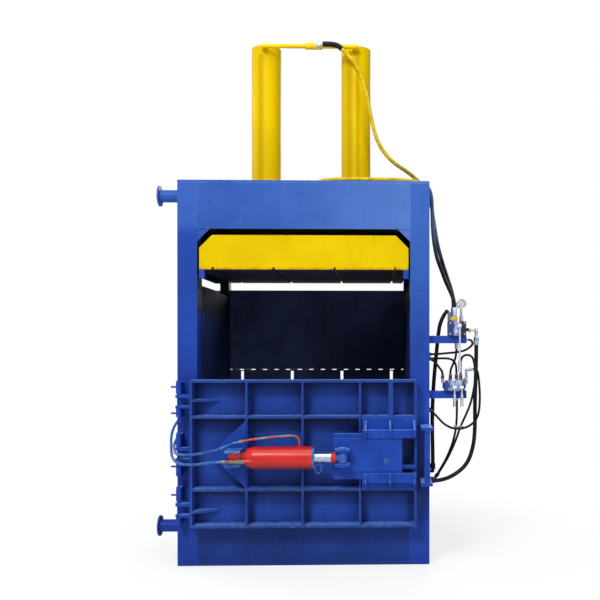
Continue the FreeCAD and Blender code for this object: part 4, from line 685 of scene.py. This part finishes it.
# a round part from its profile of radius and height
def turned(shape, profile, place, along=(0, 0, 1), steps=28):
    part = bmesh.new()
    verts = [part.verts.new((radius, 0, height)) for radius, height in profile]
    edges = [part.edges.new(pair) for pair in zip(verts, verts[1:])]
    bmesh.ops.spin(part, geom=verts + edges, cent=(0, 0, 0), axis=(0, 0, 1), angle=2 * math.pi,
                   steps=steps, use_merge=True)
    bmesh.ops.remove_doubles(part, verts=part.verts, dist=1e-6)
    addPart(shape, part, place, along)


def softEdges(part, soft):
    bmesh.ops.bevel(part, geom=part.edges[:], offset=soft, segments=2, profile=0.5, affect="EDGES",
                    material=-1)


def hexagon(shape, radius, height, place, along=(0, 0, 1), soft=0.0008):
    part = bmesh.new()
    bmesh.ops.create_cone(part, cap_ends=True, segments=6, radius1=radius, radius2=radius, depth=height)
    softEdges(part, soft)
    addPart(shape, part, place, along)


def softBox(shape, size, place, along=(0, 0, 1), soft=0.0015):
    part = bmesh.new()
    bmesh.ops.create_cube(part, size=1)
    bmesh.ops.scale(part, verts=part.verts, vec=size)
    softEdges(part, soft)
    addPart(shape, part, place, along)


def finishPiece(name, shape, material, body):
    bmesh.ops.recalc_face_normals(shape, faces=shape.faces)
    mesh = bpy.data.meshes.new(name)
    shape.to_mesh(mesh)
    shape.free()
    smoothFaces(mesh)
    mesh.set_sharp_from_angle(angle=math.radians(35))
    mesh.materials.append(material)
    piece = addObject(name, mesh)
    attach(piece, body)


deckBolts = {
    "cylinders": (-0.258, 0.258), "count": 8, "circle": 0.122, "seat": 2.03, "head": 0.0115, "height": 0.009,
    "washer": [(0.004, 0.0002), (0.0145, 0.0002), (0.0145, 0.0022), (0.004, 0.0026)], "headSeat": 0.0022}
bolts = bmesh.new()
for centre in deckBolts["cylinders"]:
    for i in range(deckBolts["count"]):
        angle = 2 * math.pi * (i + 0.5) / deckBolts["count"]
        x = centre + deckBolts["circle"] * math.cos(angle)
        y = deckBolts["circle"] * math.sin(angle)
        turned(bolts, deckBolts["washer"], (x, y, deckBolts["seat"]))
        hexagon(bolts, deckBolts["head"], deckBolts["height"],
                (x, y, deckBolts["seat"] + deckBolts["headSeat"] + deckBolts["height"] / 2))
finishPiece("deckBolts", bolts, cylinderYellow, "frame")

print("gauge")
gauge = {"centre": (0.823, -0.4074, 1.356), "dial": 0.0226, "sweep": 270, "marks": 40, "numberEach": 10,
         "tickEnd": 0.0205, "longTick": (0.0036, 0.00016, 0.0007), "shortTick": (0.002, 0.00016, 0.00035),
         "tickAhead": 0.00048, "numbers": 0.0128, "numbersAhead": 0.0005, "textSize": 0.0056,
         "textThick": 0.00006, "glassAt": -0.4146}
dialWhite = wornPaint("dialWhite", {
    "dark": shown(214, 218, 222), "light": shown(234, 237, 240), "bare": shown(240, 240, 240),
    "dirt": shown(186, 188, 190), "chip": shown(200, 200, 200), "lowDirt": 0.0, "patch": 60})
dialBlack = rubber("dialBlack", {
    "dark": shown(18, 18, 20), "light": shown(30, 30, 34), "dust": shown(60, 60, 66)})
dial = bmesh.new()
turned(dial, [(0, 0.0004), (gauge["dial"] - 0.001, 0.0004), (gauge["dial"], 0)], gauge["centre"],
       (0, -1, 0), 48)
finishPiece("gaugeDial", dial, dialWhite, "frame")
ticks = bmesh.new()
middleX, faceY, middleZ = gauge["centre"]
for i in range(gauge["marks"] + 1):
    angle = math.radians(90 + gauge["sweep"] / 2 - gauge["sweep"] * i / gauge["marks"])
    numbered = i % gauge["numberEach"] == 0
    size = gauge["longTick"] if numbered else gauge["shortTick"]
    reach = gauge["tickEnd"] - size[0] / 2
    part = bmesh.new()
    bmesh.ops.create_cube(part, size=1)
    bmesh.ops.scale(part, verts=part.verts, vec=size)
    bmesh.ops.rotate(part, verts=part.verts, cent=(0, 0, 0), matrix=Matrix.Rotation(-angle, 3, "Y"))
    addPart(ticks, part, (middleX + reach * math.cos(angle), faceY - gauge["tickAhead"],
                          middleZ + reach * math.sin(angle)), (0, 0, 1))
    if numbered:
        letters = bpy.data.curves.new("number", "FONT")
        letters.body = str(i)
        letters.size = gauge["textSize"]
        letters.align_x = "CENTER"
        letters.align_y = "CENTER"
        letters.extrude = gauge["textThick"]
        mesh = meshOf(addObject("number", letters))
        mesh.transform(Matrix.Translation((middleX + gauge["numbers"] * math.cos(angle),
                                           faceY - gauge["numbersAhead"],
                                           middleZ + gauge["numbers"] * math.sin(angle)))
                       @ Matrix.Rotation(math.pi / 2, 4, "X"))
        ticks.from_mesh(mesh)
        bpy.data.meshes.remove(mesh)
finishPiece("gaugeMarks", ticks, dialBlack, "frame")
glassPaint = Paint("gaugeGlass", {"Transmission Weight": 1.0, "IOR": 1.12})
smear = glassPaint.noise(120, 3)
glassPaint.finish(glassPaint.mix(smear, shown(246, 248, 250), shown(255, 255, 255)),
                  0.02 + smear.step(0.5, 0.8) * 0.1)
glass = bmesh.new()
turned(glass, [(0, 0.0012), (0.012, 0.001), (gauge["dial"] + 0.0002, 0), (gauge["dial"] + 0.0002, -0.0008),
               (0, -0.0006)], (gauge["centre"][0], gauge["glassAt"], gauge["centre"][2]), (0, -1, 0), 48)
finishPiece("gaugeGlass", glass, glassPaint.material, "frame")

print("nuts, rings and screws")
hoseNuts = [
    {"radius": 0.0198, "height": 0.013, "place": (0.783, -0.396, 1.2775), "along": (0, 0, 1)},
    {"radius": 0.0198, "height": 0.013, "place": (0.783, -0.434, 1.2775), "along": (0, 0, 1)},
    {"radius": 0.0125, "height": 0.009, "place": (0.869, -0.404, 1.217), "along": (1, 0, 0)},
]
yellowNuts = bmesh.new()
for nut in hoseNuts:
    hexagon(yellowNuts, nut["radius"], nut["height"], nut["place"], nut["along"])
finishPiece("yellowNuts", yellowNuts, cylinderYellow, "frame")

sealRings = {
    "relief": (((0.783, -0.396, 1.2622), 0.0168), ((0.783, -0.434, 1.2622), 0.0168),
               ((0.823, -0.405, 1.2622), 0.0122)),
    "wall": 0.004, "bulge": 0.0006,
    "spool": ((0.768, -0.384, 0.9552), (0.818, -0.424, 0.9552)),
    "spoolRing": [(0.0085, 0), (0.0112, 0.0004), (0.0114, 0.004), (0.0085, 0.0048)],
    "capPlace": (0.8395, -0.404, 0.952), "cap": [(0, 0.0105), (0.0045, 0.0104), (0.006, 0.009), (0.0064, 0)]}
redRings = bmesh.new()
for place, radius in sealRings["relief"]:
    bore = radius - sealRings["wall"]
    turned(redRings, [(bore, 0), (radius, 0), (radius + sealRings["bulge"], 0.0016), (radius, 0.0042),
                      (bore, 0.0048)], place)
for place in sealRings["spool"]:
    turned(redRings, sealRings["spoolRing"], place)
turned(redRings, sealRings["cap"], sealRings["capPlace"])
finishPiece("redRings", redRings, latchRed, "frame")

# each valve block's screws: columns across, rows up
blockScrews = {"face": -0.454, "blocks": (((0.76, 0.836), (1.197, 1.253)), ((0.752, 0.78), (0.908, 0.946)))}
socketScrew = [(0, 0.0012), (0.0021, 0.0012), (0.0021, 0.0034), (0.0038, 0.0034), (0.0043, 0.0028),
               (0.0043, 0)]
screws = bmesh.new()
for columns, rows in blockScrews["blocks"]:
    for z in rows:
        for x in columns:
            turned(screws, socketScrew, (x, blockScrews["face"], z), (0, -1, 0), 16)
finishPiece("socketScrews", screws, fittingSteel, "frame")

pinRings = {
    "doorPinRings": {"body": "door", "pin": (-0.335, -0.64), "top": 0.6203, "foot": 0.5397},
    "slidePinRings": {"body": "slide", "pin": (0.205, -0.64), "top": 0.6233, "foot": 0.5367}}
ringProfile = [(0.0118, 0), (0.0148, 0), (0.0148, 0.0014), (0.0118, 0.0014)]
for name, held in pinRings.items():
    rings = bmesh.new()
    turned(rings, ringProfile, (*held["pin"], held["top"]), (0, 0, 1))
    turned(rings, ringProfile, (*held["pin"], held["foot"]), (0, 0, -1))
    finishPiece(name, rings, brightSteel, held["body"])

print("welds")
weldBlue = wornPaint("weldBlue", {
    "dark": shown(24, 44, 104), "light": shown(40, 72, 150), "bare": shown(120, 140, 190),
    "dirt": shown(26, 30, 48), "chip": rust, "streak": 0.3, "chips": 0.9, "patch": 30, "edge": 0.002})
doorWelds = {
    "radius": 0.0032, "pitch": 0.012, "depth": -0.4862,
    "ribs": ((0.229, 0.399), (0.415, 0.766), (0.782, 0.948)),
    "stiles": (-0.282, 0.0, 0.291), "stileHalf": 0.007, "across": (-0.54, 0.553)}


# a run of beads of uneven thickness
def weldLine(curve, start, end, pitch):
    length = (Vector(end) - Vector(start)).length
    count = max(3, int(length / pitch))
    run = curve.splines.new("POLY")
    run.points.add(count)
    for i, point in enumerate(run.points):
        place = Vector(start).lerp(Vector(end), i / count)
        point.co = (*place, 1)
        point.radius = 0.8 + 0.35 * abs(math.sin(2.3 * i)) + 0.15 * math.sin(0.61 * i)


seams = []
left, right = doorWelds["across"]
y = doorWelds["depth"]
for low, high in doorWelds["ribs"]:
    seams += [((left, y, low), (right, y, low)), ((left, y, high), (right, y, high))]
    for x in doorWelds["stiles"]:
        for edge in (x - doorWelds["stileHalf"], x + doorWelds["stileHalf"]):
            seams.append(((edge, y, low), (edge, y, high)))
welds = bpy.data.curves.new("doorWelds", "CURVE")
welds.dimensions = "3D"
welds.bevel_depth = doorWelds["radius"]
welds.bevel_resolution = 1
for start, end in seams:
    weldLine(welds, start, end, doorWelds["pitch"])
welded = addObject("doorWelds", meshOf(addObject("doorWelds", welds)))
smoothFaces(welded.data)
welded.data.materials.clear()
welded.data.materials.append(weldBlue)
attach(welded, "door")

print("power unit details")
motor = {
    "y": 0.67, "z": 0.6, "from": 0.352, "to": 0.548, "radius": 0.0945,
    "fin": 0.0105, "thick": 0.0024, "count": 17, "first": -2, "sweep": 184, "bareTop": 24,
    "cowlAt": 0.58,
    "cowl": [(0.0952, -0.028), (0.0975, -0.027), (0.0975, -0.002), (0.0955, 0.0), (0.0952, -0.002)],
    "boxAt": 0.45, "box": (0.094, 0.08, 0.04), "boxUp": 0.1135, "lid": (0.1, 0.086, 0.007), "lidUp": 0.137,
    "lidScrews": (0.042, 0.035), "screwUp": 0.1404,
    "glandAt": 0.395, "gland": (0.014, 0.012), "glandUp": 0.113, "plugAt": 0.392,
    "plug": [(0, 0.014), (0.0075, 0.014), (0.0095, 0.011), (0.0095, 0)]}
fins = bmesh.new()
for i in range(motor["count"]):
    degrees = motor["first"] + motor["sweep"] * i / (motor["count"] - 1)
    if abs(degrees - 90) < motor["bareTop"]:
        continue
    angle = math.radians(degrees)
    reach = motor["radius"] + motor["fin"] / 2
    softBox(fins, (motor["to"] - motor["from"], motor["thick"], motor["fin"]),
            ((motor["from"] + motor["to"]) / 2, motor["y"] + reach * math.cos(angle),
             motor["z"] + reach * math.sin(angle)), (0, math.cos(angle), math.sin(angle)), 0.0006)
turned(fins, motor["cowl"], (motor["cowlAt"], motor["y"], motor["z"]), (1, 0, 0), 48)
softBox(fins, motor["box"], (motor["boxAt"], motor["y"], motor["z"] + motor["boxUp"]))
softBox(fins, motor["lid"], (motor["boxAt"], motor["y"], motor["z"] + motor["lidUp"]))
for side in (-1, 1):
    for end in (-1, 1):
        turned(fins, socketScrew, (motor["boxAt"] + side * motor["lidScrews"][0],
                                   motor["y"] + end * motor["lidScrews"][1],
                                   motor["z"] + motor["screwUp"]), steps=16)
hexagon(fins, *motor["gland"], (motor["glandAt"], motor["y"], motor["z"] + motor["glandUp"]), (-1, 0, 0))
turned(fins, motor["plug"], (motor["plugAt"], motor["y"], motor["z"] + motor["glandUp"]), (-1, 0, 0))
finishPiece("motorDetails", fins, unitGrey, "frame")

tank = {
    "lid": 0.488, "rows": (0.537, 0.803), "from": 0.085, "to": 0.615, "count": 6, "bolt": (0.0075, 0.006),
    "side": 0.64, "gaugeAt": (0.62, 0.3), "gauge": (0.006, 0.026, 0.13), "gaugeNut": (0.0065, 0.005),
    "gaugeEnds": (0.247, 0.353), "nutOut": 0.0082, "drainAt": (0.7, 0.11),
    "drain": [(0, 0.016), (0.009, 0.016), (0.011, 0.0145), (0.011, 0.004), (0.016, 0.004), (0.016, 0)]}
lidBolts = bmesh.new()
for i in range(tank["count"]):
    x = tank["from"] + (tank["to"] - tank["from"]) * i / (tank["count"] - 1)
    for y in tank["rows"]:
        hexagon(lidBolts, *tank["bolt"], (x, y, tank["lid"] + tank["bolt"][1] / 2), soft=0.0006)
softBox(lidBolts, tank["gauge"], (tank["side"] + tank["gauge"][0] / 2, *tank["gaugeAt"]))
for z in tank["gaugeEnds"]:
    hexagon(lidBolts, *tank["gaugeNut"], (tank["side"] + tank["nutOut"], tank["gaugeAt"][0], z),
            (1, 0, 0), 0.0006)
turned(lidBolts, tank["drain"], (tank["side"], *tank["drainAt"]), (1, 0, 0))
finishPiece("tankDetails", lidBolts, fittingSteel, "frame")

print("light and floor")
studio = {
    "ambient": 0.24,
    "lamps": [
        {"name": "keyLamp", "place": (-1.8, -5.0, 5.2), "aim": (0, 0, 1.0), "size": 1.4, "power": 285},
        {"name": "fillLamp", "place": (2.8, -3.8, 2.6), "aim": (0, 0, 1.2), "size": 2.0, "power": 50},
        {"name": "edgeLamp", "place": (-3.6, 1.2, 3.2), "aim": (0, 0, 1.8), "size": 1.6, "power": 60},
        {"name": "topLamp", "place": (0.2, -1.7, 5.4), "aim": (0, -0.3, 0), "size": 2.0, "power": 60},
        {"name": "backLamp", "place": (1.2, 4.6, 3.2), "aim": (0, 0, 1.2), "size": 2.4, "power": 120},
    ],
}
for lampSettings in studio["lamps"]:
    lampData = bpy.data.lights.new(lampSettings["name"], "AREA")
    lampData.size = lampSettings["size"]
    lampData.energy = lampSettings["power"]
    lamp = addObject(lampSettings["name"], lampData)
    lamp.location = lampSettings["place"]
    toward = Vector(lampSettings["aim"]) - Vector(lampSettings["place"])
    lamp.rotation_euler = toward.to_track_quat("-Z", "Y").to_euler()

world = bpy.data.worlds.new("studio")
bpy.context.scene.world = world
world.use_nodes = True
background = world.node_tree.nodes["Background"]
background.inputs["Color"].default_value = (1, 1, 1, 1)
# camera, mirrors and glass see plain white, the rest is lit more weakly
sky = Nodes(world.node_tree)
seen, shiny, through = [sky.add("ShaderNodeLightPath", output=f"Is {kind} Ray")
                        for kind in ("Camera", "Glossy", "Transmission")]
strength = sky.add("ShaderNodeMapRange", {}, {"Value": shiny.most(seen.most(through)),
                                              "To Min": studio["ambient"]})
sky.join(strength, background.inputs["Strength"])

floorSettings = {"size": 60, "level": -0.0005, "colour": (0.9, 0.9, 0.9, 1), "rough": 0.9, "near": 0.8,
                 "far": 2.0, "glow": 0.72}
floorShape = bmesh.new()
bmesh.ops.create_grid(floorShape, x_segments=1, y_segments=1, size=floorSettings["size"] / 2)
bmesh.ops.translate(floorShape, verts=floorShape.verts, vec=(0, 0, floorSettings["level"]))
floorMesh = bpy.data.meshes.new("floor")
floorShape.to_mesh(floorMesh)
floorShape.free()
floor = addObject("floor", floorMesh)
floorPaint = Paint("floor")
floorMesh.materials.append(floorPaint.finish(floorSettings["colour"], floorSettings["rough"]))
# to the camera, the floor fades into the white background, and keeps the shadow
fromObject = floorPaint.add("ShaderNodeVectorMath", {"operation": "LENGTH"}, [floorPaint.place], "Value")
whitening = fromObject.step(floorSettings["near"], floorSettings["far"])
whiteness = floorSettings["glow"] + whitening * (1 - floorSettings["glow"])
cameraRay = floorPaint.add("ShaderNodeLightPath", output="Is Camera Ray")
glow = floorPaint.add("ShaderNodeEmission", {}, {"Color": (1, 1, 1, 1), "Strength": 1.0})
lit = Sock(floorPaint, floorPaint.shader.outputs["BSDF"])
mixed = floorPaint.add("ShaderNodeMixShader", {}, [whiteness * cameraRay, lit, glow])
floorPaint.join(mixed, floorPaint.tree.nodes["Material Output"].inputs["Surface"])

bpy.context.scene.view_settings.view_transform = "Standard"
